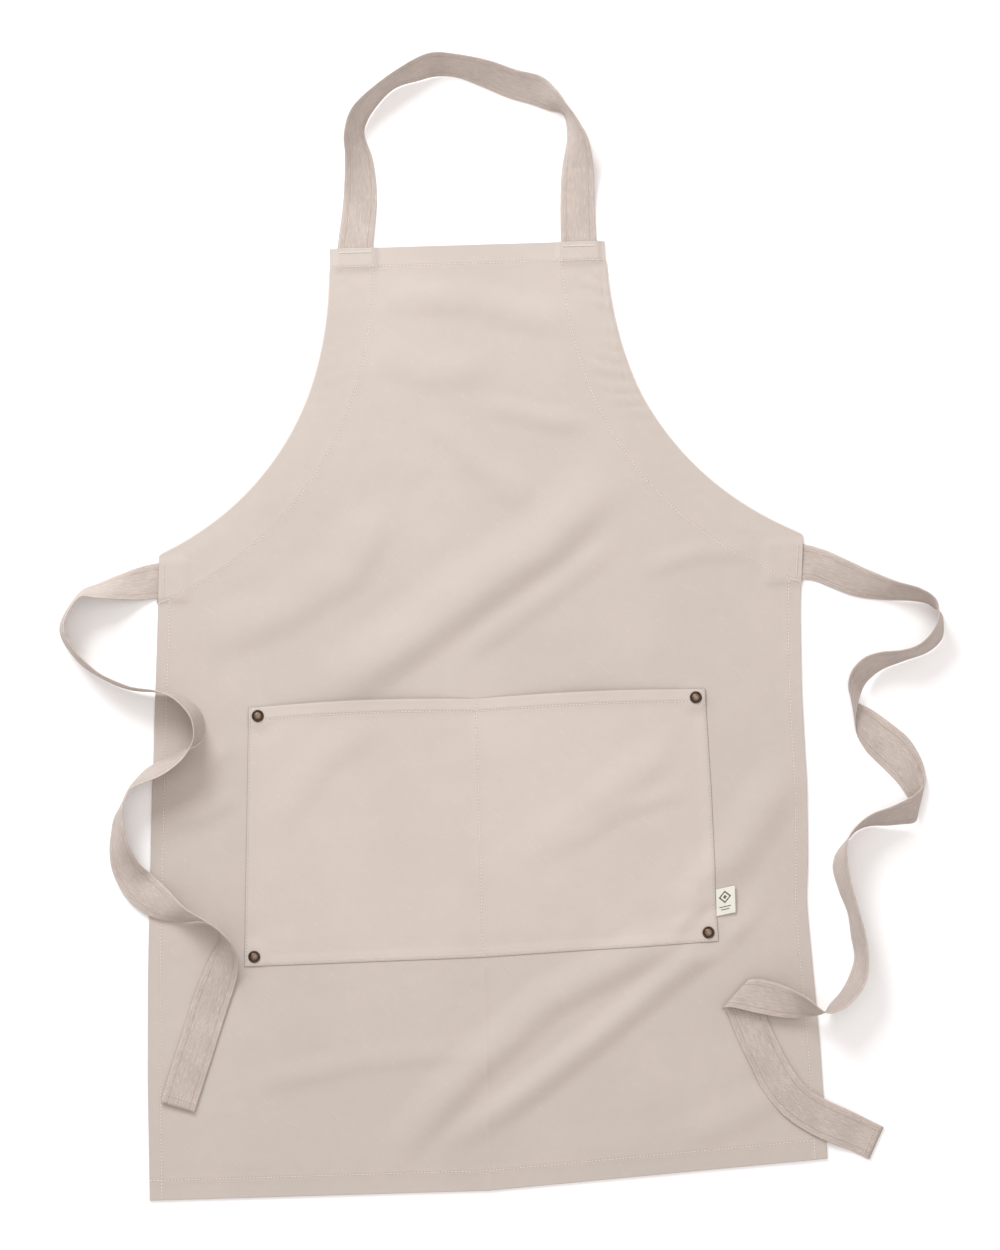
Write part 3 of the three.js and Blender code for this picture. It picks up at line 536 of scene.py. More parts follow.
def ground(x, y):
    """Height that a tape lies on at laid points: the body's face, the pocket or the table."""
    inside = smooth((cloth_half(y) - np.abs(x + 4) + 2) / 5) * smooth((y + 2) / 6)
    pocket = smooth((pocket_half(y) - np.abs(x + 4)) / 5) * smooth((y - POCKET_FOOT_Y) / 5)
    return inside * (height(x, y) + 1.6 * pocket * (y < POCKET_MOUTH_Y))


def tape_edges(stations, steps, settle):
    """The two edges of a stretch of tape in millimetres, evenly spaced, lying on what is below."""
    t = np.linspace(0, 1, steps * 4)
    left = catmull_rom([s[:3] for s in stations], t)
    right = catmull_rom([s[3:] for s in stations], t)
    middle = (left + right) / 2
    length = np.concatenate([[0], np.cumsum(np.linalg.norm(np.diff(middle, axis=0), axis=1))])
    even = np.linspace(0, length[-1], steps)
    left = np.stack([np.interp(even, length, left[:, k]) for k in range(3)], axis=-1)
    right = np.stack([np.interp(even, length, right[:, k]) for k in range(3)], axis=-1)
    if settle:
        lift_left = np.maximum(ground(left[:, 0], left[:, 1]) + 0.8 - left[:, 2], 0)
        lift_right = np.maximum(ground(right[:, 0], right[:, 1]) + 0.8 - right[:, 2], 0)
        low = np.where(left[:, 2] < right[:, 2], lift_left, lift_right)
        free = even > TIE_TUCK + 9
        left[:, 2] += np.where(free, np.maximum(lift_left, low * 0.8), 0)
        right[:, 2] += np.where(free, np.maximum(lift_right, low * 0.8), 0)
    return left, right, even


TAPE_ACROSS = (0, 0.012, 0.035, 0.08, 0.18, 0.3, 0.42, 0.5, 0.58, 0.7, 0.82, 0.92, 0.965, 0.988, 1)


def tape_object(name, stations, steps, thickness, settle=True, hemmed_tip=False):
    """A flat woven tape with rounded edges along its two edge curves, and its centreline."""
    left, right, even = tape_edges(stations, steps, settle)
    across = np.array(TAPE_ACROSS)
    ahead = np.gradient((left + right) / 2, axis=0)
    side = right - left
    normal = np.cross(side, ahead)
    normal /= np.linalg.norm(normal, axis=1)[:, None]
    to_edge = np.minimum(across, 1 - across)
    rounding = np.sqrt(np.clip(1 - (1 - np.clip(to_edge / 0.035, 0, 1)) ** 2, 0.12, 1))
    half = thickness * 1000 / 2 * rounding
    selvage = 0.10 * np.cos(math.pi * np.clip(to_edge / 0.09, 0, 1))
    ripple = 0.28 * np.sin(even / 17 + 2 * np.sin(even / 41))[:, None] * np.sin(math.pi * across)
    ripple += 0.16 * np.sin(even / 7.3 + 1.3 * np.sin(even / 29))[:, None] * np.cos(math.pi * across)
    thick = half[None, :] + selvage * rounding + np.zeros_like(ripple)
    if hemmed_tip:
        ripple *= smooth((even[-1] - even - 8) / 25)[:, None]
        fold = smooth((even - even[-1] + 9.5) / 1.2)[:, None]
        thick = thick * (1 + 0.75 * fold)
    centre = left[:, None, :] + side[:, None, :] * across[None, :, None]
    centre += normal[:, None, :] * ripple[..., None]
    face = centre + normal[:, None, :] * thick[..., None]
    back = centre - normal[:, None, :] * thick[..., None]
    for surface in (face, back):
        surface[..., 2] = np.maximum(surface[..., 2], FLOOR_GAP)
    rows, columns = face.shape[:2]
    points = np.concatenate([face.reshape(-1, 3), back.reshape(-1, 3)])
    faces = grid_faces(rows, columns, 0, True) + grid_faces(rows, columns, rows * columns)
    faces += [quad[::-1] for quad in rim_faces(rows, columns)]
    uv = np.stack(np.broadcast_arrays(even[:, None] / 1000, across[None, :] * TAPE_WIDTH / 1000), axis=-1)
    obj = mesh_object(name, place(*points.T), faces, uv=np.concatenate([uv.reshape(-1, 2)] * 2))
    middle = (left + right) / 2
    return obj, place(*middle.T), even[-1] / 1000, (left, right, normal)


# ---------------------------------------------------------------------------------------------
# Materials

def connect(tree, value, socket):
    """Link a value to a socket where it is another node's, and set it otherwise."""
    if isinstance(value, bpy.types.NodeSocket):
        tree.links.new(value, socket)
    else:
        socket.default_value = value


def add_node(tree, kind, inputs=None, **settings):
    node = tree.nodes.new(kind)
    for key, value in settings.items():
        setattr(node, key, value)
    for key, value in (inputs or {}).items():
        connect(tree, value, node.inputs[key])
    return node


class Shader:
    """Short words for building one material's nodes."""

    def __init__(self, name):
        self.material = bpy.data.materials.new(name)
        self.material.use_nodes = True
        self.tree = self.material.node_tree
        self.bsdf = self.tree.nodes["Principled BSDF"]

    def add(self, kind, inputs=None, **settings):
        return add_node(self.tree, kind, inputs, **settings)

    def math(self, operation, *values, clamp=False):
        node = self.add("ShaderNodeMath", operation=operation, use_clamp=clamp)
        for socket, value in zip(node.inputs, values):
            connect(self.tree, value, socket)
        return node.outputs[0]

    def coordinates(self, turn=0.0, source="Object"):
        where = self.add("ShaderNodeTexCoord").outputs[source]
        return self.add("ShaderNodeMapping", {"Vector": where, "Rotation": (0, 0, turn)}).outputs[0]

    def noise(self, where, scale, detail=2.0, roughness=0.5):
        return self.add("ShaderNodeTexNoise", {
            "Vector": where, "Scale": scale, "Detail": detail, "Roughness": roughness}).outputs[0]

    def wave(self, where, scale, distortion=0.0, detail_scale=1.0, axis="X"):
        return self.add("ShaderNodeTexWave", {
            "Vector": where, "Scale": scale, "Distortion": distortion, "Detail": 2.0,
            "Detail Scale": detail_scale}, bands_direction=axis).outputs[1]

    def remap(self, value, low, high, to_low=0.0, to_high=1.0, eased=True):
        kind = "SMOOTHSTEP" if eased else "LINEAR"
        return self.add("ShaderNodeMapRange", {
            "Value": value, "From Min": low, "From Max": high, "To Min": to_low, "To Max": to_high},
            interpolation_type=kind).outputs[0]

    def mix(self, share, first, second):
        node = self.add("ShaderNodeMix", data_type="RGBA")
        for index, value in ((0, share), (6, first), (7, second)):
            connect(self.tree, value, node.inputs[index])
        return node.outputs[2]

    def attribute(self, name):
        return self.add("ShaderNodeAttribute", attribute_name=name).outputs["Fac"]

    def bump(self, height, distance, strength=1.0, before=None):
        node = self.add("ShaderNodeBump", {"Height": height, "Distance": distance, "Strength": strength})
        if before is not None:
            connect(self.tree, before, node.inputs["Normal"])
        return node.outputs[0]

    def finish(self, colour, normal, roughness=None, **fixed):
        for label, value in (("Base Color", colour), ("Normal", normal), ("Roughness", roughness)):
            if value is not None:
                connect(self.tree, value, self.bsdf.inputs[label])
        for label, value in fixed.items():
            self.bsdf.inputs[label.replace("_", " ")].default_value = value
        return self.material


def shade(colour, factor):
    return tuple(min(channel * factor, 1) for channel in colour) + (1,)


def twill_material(name, turn, seams, pale_edge=None, painted_rim_shade=None, tone=1.0):
    """Natural cotton twill: fine diagonal ribs, uneven yarns, and valleys along its sewn lines."""
    base = [channel * tone for channel in bpy.context.scene.apron_colours.twill]
    s = Shader(name)
    where = s.coordinates(turn)
    ribs = s.wave(where, 330, 1.1, 2.2)
    cross = s.wave(where, 520, 1.6, 2.0, "Y")
    yarn = s.noise(where, 1400, 2)
    weave = s.math("ADD", s.math("MULTIPLY", ribs, 0.6), s.math("MULTIPLY", cross, 0.25))
    weave = s.math("ADD", weave, s.math("MULTIPLY", yarn, 0.35))
    slubs = s.remap(s.noise(s.add("ShaderNodeMapping", {
        "Vector": where, "Scale": (0.16, 1, 1)}).outputs[0], 520, 1), 0.62, 0.78)
    cloudy = s.noise(where, 9, 4)
    blotches = s.noise(where, 70, 3)
    flecks = s.remap(s.noise(where, 700, 1), 0.70, 0.80)
    colour = s.mix(s.remap(cloudy, 0.3, 0.7), shade(base, 0.965), shade(base, 1.035))
    colour = s.mix(s.remap(blotches, 0.35, 0.7, 0, 0.35), colour, shade(base, 0.95))
    colour = s.mix(s.remap(weave, 0.3, 0.95, 0, 0.5), colour, shade(base, 1.07))
    colour = s.mix(s.remap(weave, 0.15, 0.5, 0.42, 0), colour, shade(base, 0.80))
    colour = s.mix(s.math("MULTIPLY", slubs, 0.35), colour, shade(base, 1.13))
    colour = s.mix(s.math("MULTIPLY", flecks, 0.4), colour, shade(base, 0.78))
    valley, tug = None, None
    for seam in seams:
        gap = s.math("ABSOLUTE", s.attribute(seam))
        here = s.remap(gap, 0.0, 1.5)
        near = s.remap(gap, 0.5, 7.0, 1, 0)
        valley = here if valley is None else s.math("MINIMUM", valley, here)
        tug = near if tug is None else s.math("MAXIMUM", tug, near)
    # Painted shade: the cloth is darkened in the valley along each sewn line, where shade falls
    colour = s.mix(s.remap(valley, 0, 1, 0.12, 0), colour, shade(base, 0.70))
    if pale_edge is not None:
        colour = s.mix(s.remap(s.attribute(pale_edge), FACING - 0.6, FACING), colour, shade(base, 1.35))
    if painted_rim_shade is not None:
        # Painted shade: a thin dark line along the pocket's outer rim and mouth edge, where shade falls at
        # the turned edge and in the mouth's gap
        colour = s.mix(s.remap(s.attribute(painted_rim_shade), 0.2, 1.0, 0.55, 0), colour, shade(base, 0.42))
    pulled = s.math("MULTIPLY", s.noise(where, 260, 1), tug)
    relief = s.math("ADD", s.math("MULTIPLY", valley, 0.5), s.math("MULTIPLY", pulled, 0.9))
    normal = s.bump(relief, 0.00034, 0.9)
    normal = s.bump(s.noise(where, 120, 3), 0.00035, 0.5, normal)
    normal = s.bump(weave, 0.00014, 0.75, normal)
    roughness = s.remap(weave, 0, 1, 0.95, 0.82)
    return s.finish(colour, normal, roughness, Sheen_Weight=0.12, Sheen_Roughness=0.6,
                    Specular_IOR_Level=0.25)


def tape_material():
    """Coarse cotton tape: chevron ribs along its length, a firm selvage and light flecks."""
    base = bpy.context.scene.apron_colours.tape
    s = Shader("woven_tape")
    uv = s.add("ShaderNodeUVMap", uv_map="along_and_across").outputs[0]
    split = s.add("ShaderNodeSeparateXYZ", {"Vector": uv})
    along, across = split.outputs[0], split.outputs[1]
    centre = s.math("SUBTRACT", across, TAPE_WIDTH / 2000)
    zigzag = s.math("PINGPONG", across, 0.004)
    slanted = s.math("ADD", along, s.math("MULTIPLY", zigzag, 0.9))
    uneven = s.math("MULTIPLY", s.noise(uv, 420, 2), 0.0012)
    ribs = s.math("SINE", s.math("MULTIPLY", s.math("ADD", slanted, uneven), 2 * math.pi / 0.0017))
    warp = s.math("SINE", s.math("MULTIPLY", across, 2 * math.pi / 0.0010))
    weave = s.math("ADD", s.math("MULTIPLY", ribs, 0.30), s.math("MULTIPLY", warp, 0.14))
    weave = s.math("ADD", s.math("ADD", weave, 0.5), s.math("MULTIPLY", s.noise(uv, 1500, 1), 0.25))
    selvage = s.remap(s.math("ABSOLUTE", centre), TAPE_WIDTH / 2000 - 0.0026, TAPE_WIDTH / 2000 - 0.0016)
    dashes = s.add("ShaderNodeMapping", {"Vector": uv, "Scale": (0.13, 1, 1)}).outputs[0]
    light_dash = s.remap(s.noise(dashes, 1050, 1), 0.50, 0.68)
    dark_dash = s.remap(s.noise(dashes, 830, 1), 0.48, 0.32)
    rows = s.math("ABSOLUTE", s.math("SUBTRACT", s.math("ABSOLUTE", centre), 0.0105))
    rows = s.remap(rows, 0.0002, 0.0007, 1, 0)
    cloudy = s.noise(uv, 34, 3)
    colour = s.mix(s.remap(cloudy, 0.3, 0.7), shade(base, 0.92), shade(base, 1.07))
    colour = s.mix(s.remap(weave, 0.25, 0.75, 0.5, 0), colour, shade(base, 0.74))
    colour = s.mix(s.math("MULTIPLY", dark_dash, 0.45), colour, shade(base, 0.70))
    colour = s.mix(s.math("MULTIPLY", light_dash, 0.4), colour, shade(base, 1.30))
    colour = s.mix(s.math("MULTIPLY", rows, 0.4), colour, shade(base, 0.68))
    colour = s.mix(s.math("MULTIPLY", selvage, 0.22), colour, shade(base, 1.2))
    weave = s.math("SUBTRACT", weave, s.math("MULTIPLY", rows, 0.6))
    weave = s.math("ADD", weave, s.math("MULTIPLY", light_dash, 0.35))
    normal = s.bump(s.math("ADD", weave, s.math("MULTIPLY", selvage, 0.5)), 0.0004, 0.9)
    normal = s.bump(s.noise(uv, 200, 2), 0.0003, 0.4, normal)
    return s.finish(colour, normal, s.remap(weave, 0, 1, 0.98, 0.86), Sheen_Weight=0.15,
                    Sheen_Roughness=0.6, Specular_IOR_Level=0.2)


def thread_material(name="sewing_thread", factor=1.0):
    """Pale cotton thread with a fine twist."""
    base = shade(bpy.context.scene.apron_colours.thread, factor)[:3]
    s = Shader(name)
    where = s.coordinates(0.7)
    twist = s.wave(where, 900, 0.6)
    fuzz = s.noise(where, 2200, 2)
    colour = s.mix(twist, shade(base, 0.86), shade(base, 1.05))
    colour = s.mix(s.remap(s.noise(where, 60, 2), 0.35, 0.7, 0, 0.5), colour, shade(base, 0.9))
    normal = s.bump(s.math("ADD", twist, s.math("MULTIPLY", fuzz, 0.6)), 0.00008, 0.8)
    return s.finish(colour, normal, s.remap(fuzz, 0, 1, 0.75, 0.9), Sheen_Weight=0.1,
                    Specular_IOR_Level=0.3)


def bronze_material():
    """Antique bronze: nearly black in its hollows, rubbed lighter on its high spots."""
    base = bpy.context.scene.apron_colours.bronze
    s = Shader("antique_bronze")
    where = s.coordinates()
    rub_and_highlight = s.attribute("rub_and_highlight")
    grain = s.noise(where, 900, 4, 0.6)
    stain = s.noise(where, 420, 3)
    rubbed_and_lit = s.math("ADD", rub_and_highlight, s.remap(grain, 0.35, 0.7, -0.25, 0.25, False), clamp=True)
    # Lighter on the high spots: partly real rubbing of the bronze, partly a painted highlight that is
    # strongest at the dome's top
    colour = s.mix(rubbed_and_lit, shade(base, 0.35), shade(base, 3.0))
    reddish = (base[0] * 1.6, base[1] * 1.1, base[2] * 0.8, 1)
    colour = s.mix(s.remap(stain, 0.45, 0.7, 0, 0.5), colour, reddish)
    normal = s.bump(grain, 0.00012, 0.8)
    return s.finish(colour, normal, s.remap(rubbed_and_lit, 0, 1, 0.62, 0.34), Metallic=0.85)


def label_material():
    """Off-white woven label with a plain lozenge and two bars in dark thread."""
    colours = bpy.context.scene.apron_colours
    s = Shader("woven_label")
    uv = s.add("ShaderNodeUVMap", uv_map="along_and_across").outputs[0]
    split = s.add("ShaderNodeSeparateXYZ", {"Vector": uv})
    u, v = split.outputs[0], split.outputs[1]
    aside = s.math("ABSOLUTE", s.math("SUBTRACT", u, 0.46))
    above = s.math("ABSOLUTE", s.math("SUBTRACT", v, 0.66))
    reach = s.math("ADD", aside, s.math("MULTIPLY", above, 1.39))
    outer = s.math("LESS_THAN", reach, 0.33)
    hollow = s.math("GREATER_THAN", reach, 0.23)
    heart = s.math("LESS_THAN", reach, 0.11)
    motif = s.math("MAXIMUM", s.math("MULTIPLY", outer, hollow), heart)
    for middle, half in ((0.30, 0.30), (0.20, 0.22)):
        bar = s.math("LESS_THAN", s.math("ABSOLUTE", s.math("SUBTRACT", v, middle)), 0.018)
        short = s.math("LESS_THAN", aside, half)
        motif = s.math("MAXIMUM", motif, s.math("MULTIPLY", bar, short))
    where = s.coordinates(0.2)
    weft = s.wave(where, 560, 0.3)
    warp = s.wave(where, 560, 0.3, axis="Y")
    weave = s.math("MULTIPLY", s.math("ADD", weft, warp), 0.5)
    ground_colour = s.mix(weave, shade(colours.label, 0.88), shade(colours.label, 1.05))
    thread = s.mix(weave, shade(colours.motif, 0.9), shade(colours.motif, 2.2))
    colour = s.mix(s.math("MULTIPLY", motif, s.remap(s.noise(where, 1500, 1), 0.2, 0.5, 0.6, 1)),
                   ground_colour, thread)
    raised = s.math("ADD", weave, s.math("MULTIPLY", motif, 0.8))
    return s.finish(colour, s.bump(raised, 0.00012, 0.8), s.remap(weave, 0, 1, 0.9, 0.75),
                    Sheen_Weight=0.1, Specular_IOR_Level=0.3)


def floor_material():
    s = Shader("pale_table")
    where = s.coordinates()
    grain = s.noise(where, 40, 3)
    colour = s.mix(grain, (0.95, 0.95, 0.95, 1), (0.97, 0.97, 0.97, 1))
    return s.finish(colour, s.bump(s.noise(where, 300, 2), 0.00005, 0.3), s.remap(grain, 0, 1, 0.85, 0.8))


def dress(obj, material, body, slot, *nodes):
    """Give a piece its material, its body, its slot and the CAD nodes that it stands for."""
    if obj.data.materials:
        obj.data.materials[0] = material
    else:
        obj.data.materials.append(material)
    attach(obj, body)
    if nodes:
        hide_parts(*nodes)
    return obj


# ---------------------------------------------------------------------------------------------
# Stitches

def stitch_tree():
    """Geometry Nodes: one small lozenge of thread at every pitch along a line."""
    tree = bpy.data.node_groups.new("stitch_line", "GeometryNodeTree")
    face = tree.interface
    face.new_socket("Geometry", in_out="INPUT", socket_type="NodeSocketGeometry")
    for label, value in (("Pitch", 0.003), ("Length", 0.0024), ("Width", 0.0006), ("Height", 0.0005),
                         ("Turn", 0.0)):
        face.new_socket(label, in_out="INPUT", socket_type="NodeSocketFloat").default_value = value
    face.new_socket("Seed", in_out="INPUT", socket_type="NodeSocketInt").default_value = 3
    face.new_socket("Thread", in_out="INPUT", socket_type="NodeSocketMaterial")
    face.new_socket("Geometry", in_out="OUTPUT", socket_type="NodeSocketGeometry")
    given = tree.nodes.new("NodeGroupInput").outputs

    def add(kind, inputs=None, **settings):
        return add_node(tree, kind, inputs, **settings).outputs[0]

    line = add("GeometryNodeMeshToCurve", {"Mesh": given["Geometry"]})
    spread = add("GeometryNodeResampleCurve", {"Curve": line, "Length": given["Pitch"]}, mode="LENGTH")
    ball = add("GeometryNodeMeshUVSphere", {"Segments": 6, "Rings": 5, "Radius": 0.5})
    size = add("ShaderNodeCombineXYZ", {
        "X": given["Length"], "Y": given["Width"], "Z": given["Height"]})
    shaped = add("GeometryNodeTransform", {"Geometry": ball, "Scale": size})
    turn = add("ShaderNodeCombineXYZ", {"Z": given["Turn"]})
    turned = add("GeometryNodeTransform", {"Geometry": shaped, "Rotation": turn})
    aim = add("FunctionNodeAlignRotationToVector", {"Vector": add("GeometryNodeInputTangent")}, axis="X")
    wander = add("FunctionNodeRandomValue", {
        "Min": (0.86, 0.88, 0.85), "Max": (1.06, 1.12, 1.12), "Seed": given["Seed"]},
        data_type="FLOAT_VECTOR")
    copies = add("GeometryNodeInstanceOnPoints", {
        "Points": spread, "Instance": turned, "Rotation": aim, "Scale": wander})
    real = add("GeometryNodeRealizeInstances", {"Geometry": copies})
    rounded = add("GeometryNodeSetShadeSmooth", {"Geometry": real})
    coloured = add("GeometryNodeSetMaterial", {"Geometry": rounded, "Material": given["Thread"]})
    tree.links.new(coloured, tree.nodes.new("NodeGroupOutput").inputs[0])
    return tree


def stitches(name, lines, material, node, **sizes):
    """Sew along lines of frame points, and return the stitches as one plain mesh."""
    tree = bpy.data.node_groups.get("stitch_line") or stitch_tree()
    points = np.concatenate(lines)
    edges, start = [], 0
    for line in lines:
        edges += [(start + i, start + i + 1) for i in range(len(line) - 1)]
        start += len(line)
    mesh = bpy.data.meshes.new(name + "_line")
    mesh.from_pydata(points.tolist(), edges, [])
    guide = bpy.data.objects.new(name + "_line", mesh)
    bpy.context.collection.objects.link(guide)
    settings = bpy.context.scene.apron_sizes
    values = {"Pitch": settings.stitch_pitch, "Length": settings.stitch_pitch * 0.82,
              "Width": settings.stitch_width, "Height": settings.stitch_width * 0.8,
              "Thread": material, **sizes}
    modifier = guide.modifiers.new("Stitches", "NODES")
    modifier.node_group = tree
    for item in tree.interface.items_tree:
        if item.in_out == "INPUT" and item.name in values:
            modifier[item.identifier] = values[item.name]
    evaluated = guide.evaluated_get(bpy.context.evaluated_depsgraph_get())
    result = bpy.data.meshes.new_from_object(evaluated)
    guide.modifiers.remove(modifier)
    bpy.data.objects.remove(guide)
    sewn = bpy.data.objects.new(name, result)
    bpy.context.collection.objects.link(sewn)
    dress(sewn, material, "apron", "thread", node)
    return sewn


SEW_RISE = 0.12                # a stitch's middle above the cloth


def sewn_line(points, surface, spacing=4.0):
    """A polyline on the cut cloth, in millimetres, as frame points on a surface."""
    points = np.array(points, float)
    steps = np.hypot(*np.diff(points, axis=0).T)
    length = np.concatenate([[0], np.cumsum(steps)])
    even = np.linspace(0, length[-1], max(int(length[-1] / spacing), 2))
    x = np.interp(even, length, points[:, 0])
    y = np.interp(even, length, points[:, 1])
    px, py, pz = surface(x, y)
    return place(px, py, pz + SEW_RISE)


# ---------------------------------------------------------------------------------------------
# Operators, one for each piece or group of like pieces

class APRON_OT_stage(bpy.types.Operator):
    bl_idname = "apron.stage"
    bl_label = "Table, light and camera"
    __doc__ = "Make the pale table, the soft studio light and the camera above it"

    def execute(self, context):
        bpy.ops.mesh.primitive_plane_add(size=9, location=(0, 0, 0))
        table = context.object
        table.name = "table"
        table.data.materials.append(floor_material())

        camera = bpy.data.objects.new("camera", bpy.data.cameras.new("camera"))
        context.collection.objects.link(camera)
        camera.data.sensor_fit = "HORIZONTAL"
        camera.data.sensor_width = 36
        camera.data.lens = CAMERA_LENS
        camera.location = CAMERA_PLACE
        camera.rotation_euler = (0, 0, math.radians(CAMERA_TURN))
        context.scene.camera = camera

        for name, place_at, size, power, tint, aim in LIGHTS:
            lamp = bpy.data.lights.new(name, "AREA")
            lamp.shape = "SQUARE"
            lamp.size = size
            lamp.energy = power
            lamp.color = tint
            obj = bpy.data.objects.new(name, lamp)
            obj.location = place_at
            obj.rotation_euler = (Vector(aim) - Vector(place_at)).to_track_quat("-Z", "Y").to_euler()
            context.collection.objects.link(obj)
        world = bpy.data.worlds.new("soft_room")
        world.use_nodes = True
        backdrop = world.node_tree.nodes["Background"]
        backdrop.inputs["Color"].default_value = ROOM_TINT
        backdrop.inputs["Strength"].default_value = ROOM_STRENGTH
        context.scene.world = world
        context.scene.view_settings.view_transform = "Standard"
        return {"FINISHED"}


def tie_stations(side, tie):
    """A tie's stations with its sewn end, which is tucked behind the body's side edge."""
    half = TAPE_WIDTH / 2
    edge = laid(np.array([side * WAIST_HALF]), np.array([float(TIE_MIDDLE)]))[0][0]
    ends = []
    for x in (edge - side * TIE_TUCK, edge - side * TIE_TUCK / 2, edge + side * TAPE_OUT):
        ends.append((x, TIE_MIDDLE + side * half, TAPE_LEVEL, x, TIE_MIDDLE - side * half, TAPE_LEVEL))
    return ends + [(ax, CORNER_Y + ay, az, bx, CORNER_Y + by, bz) for ax, ay, az, bx, by, bz in tie]


class APRON_OT_ties(bpy.types.Operator):
    bl_idname = "apron.ties"
    bl_label = "Waist ties"
    # Make the two free waist ties
    __doc__ = "Make the two free waist ties and declare them as cords"

    def execute(self, context):
        material = tape_material()
        thread = thread_material("tie_thread", 0.97)
        for word, side, tie in (("left", -1, LEFT_TIE), ("right", 1, RIGHT_TIE)):
            stations = tie_stations(side, tie)
            obj, path, length, edges = tape_object(
                f"waist_tie_{word}_tape", stations, 260, context.scene.apron_sizes.tape_thickness,
                hemmed_tip=True)
            dress(obj, material, "apron", "tape", f"waist_tie_{word}", f"tie_end_{word}")
            seam = tip_seam(edges)
            sewn = stitches(f"tie_tip_stitches_{word}", [seam], thread, f"tie_tip_seam_{word}",
                            Pitch=0.0026, Length=0.0021)
        return {"FINISHED"}


def tip_seam(edges, back=8.0):
    """The line of stitches across a tie's folded tip, on its upper side."""
    left, right, normal = edges
    middle = (left + right) / 2
    gone = np.linalg.norm(middle - middle[-1], axis=1)
    i = int(np.argmin(np.abs(gone - back)))
    up = normal[i] * (1 if normal[i][2] > 0 else -1)
    share = np.linspace(0.06, 0.94, 14)[:, None]
    points = left[i] + (right[i] - left[i]) * share + up * 1.18
    return place(*points.T)


class APRON_OT_neck_strap(bpy.types.Operator):
    bl_idname = "apron.neck_strap"
    bl_label = "Neck strap"
    __doc__ = "Make the neck strap as one tape that bends where it meets the bib"

    def execute(self, context):
        half = TAPE_WIDTH / 2

        def root(x, outward, y):
            return (x + outward * half, y, TAPE_LEVEL, x - outward * half, y, TAPE_LEVEL)

        low, edge = BODY_LENGTH - STRAP_TUCK, BODY_LENGTH + TAPE_OUT
        stations = [root(-STRAP_CENTRE, -1, low), root(-STRAP_CENTRE, -1, edge)]
        stations += [(ax, ay + BODY_LENGTH, az, bx, by + BODY_LENGTH, bz)
                     for ax, ay, az, bx, by, bz in NECK_LOOP]
        stations += [root(STRAP_CENTRE, 1, edge), root(STRAP_CENTRE, 1, low)]
        obj = tape_object("neck_strap_tape", stations, 240,
                          context.scene.apron_sizes.tape_thickness, settle=False)[0]
        obj.data.materials.append(bpy.data.materials["woven_tape"])
        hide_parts("neck_strap", "neck_strap_end_left", "neck_strap_end_right")
        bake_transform(obj)
        return {"FINISHED"}


class APRON_OT_body(bpy.types.Operator):
    bl_idname = "apron.body"
    bl_label = "Body panel"
    __doc__ = "Make the body panel with its folded hems and the folds that it lies in"

    def execute(self, context):
        from_edge = (0, 0.5, 2.5, 5.5, 8.5, 10.2, 11, 11.8, 14, 18)
        marks = [-HEM_HALF + gap for gap in from_edge] + [-2.6, -1.3, 0, 1.3, 2.6]
        marks += [HEM_HALF - gap for gap in reversed(from_edge)]
        across = spaced(marks, BODY_SPACING) / HEM_HALF
        rows = [0, 0.5, 3, 7, 11, 15, BOTTOM_HEM - 0.6, BOTTOM_HEM, BOTTOM_HEM + 0.6, 22]
        rows += [FACING_FOOT - 0.5, FACING_FOOT, CORNER_Y, BODY_LENGTH - TOP_HEM - 0.6]
        rows += [BODY_LENGTH - TOP_HEM, BODY_LENGTH - TOP_HEM + 0.6, 849, 855, 859.5, BODY_LENGTH]
        y = spaced(rows, BODY_SPACING)[:, None]
        half = cloth_half(y)
        x = across[None, :] * half
        y = y + np.zeros_like(x)
        px, py, pz = body_face(x, y)
        edge = half - np.abs(x)
        scaled_edge = (1 - np.abs(across))[None, :] * HEM_HALF + np.zeros_like(x)
        hem = (y <= BOTTOM_HEM) | (y >= BODY_LENGTH - TOP_HEM)
        hem |= (scaled_edge <= SIDE_HEM + 0.1) & (y <= FACING_FOOT)
        thickness = np.where(hem, 3 * LAYER, LAYER)
        gap, _ = armhole_gap(x, y)
        facing_gap = np.maximum(gap - FACING, FACING_FOOT - y)
        side_gap = np.where(y < FACING_FOOT + 1, edge - SIDE_HEM, SEAM_REACH)
        hem_gap = np.minimum(np.minimum(side_gap, y - BOTTOM_HEM), BODY_LENGTH - TOP_HEM - y)
        sewn = [("facing_gap", seam_gap(facing_gap)), ("hem_gap", seam_gap(hem_gap))]
        body = sheet_object("body_cloth", place(px, py, pz), thickness / 1000, sewn)
        dress(body, twill_material("body_twill", 0.72, ("facing_gap", "hem_gap")),
              "apron", "twill", "body_panel")
        return {"FINISHED"}


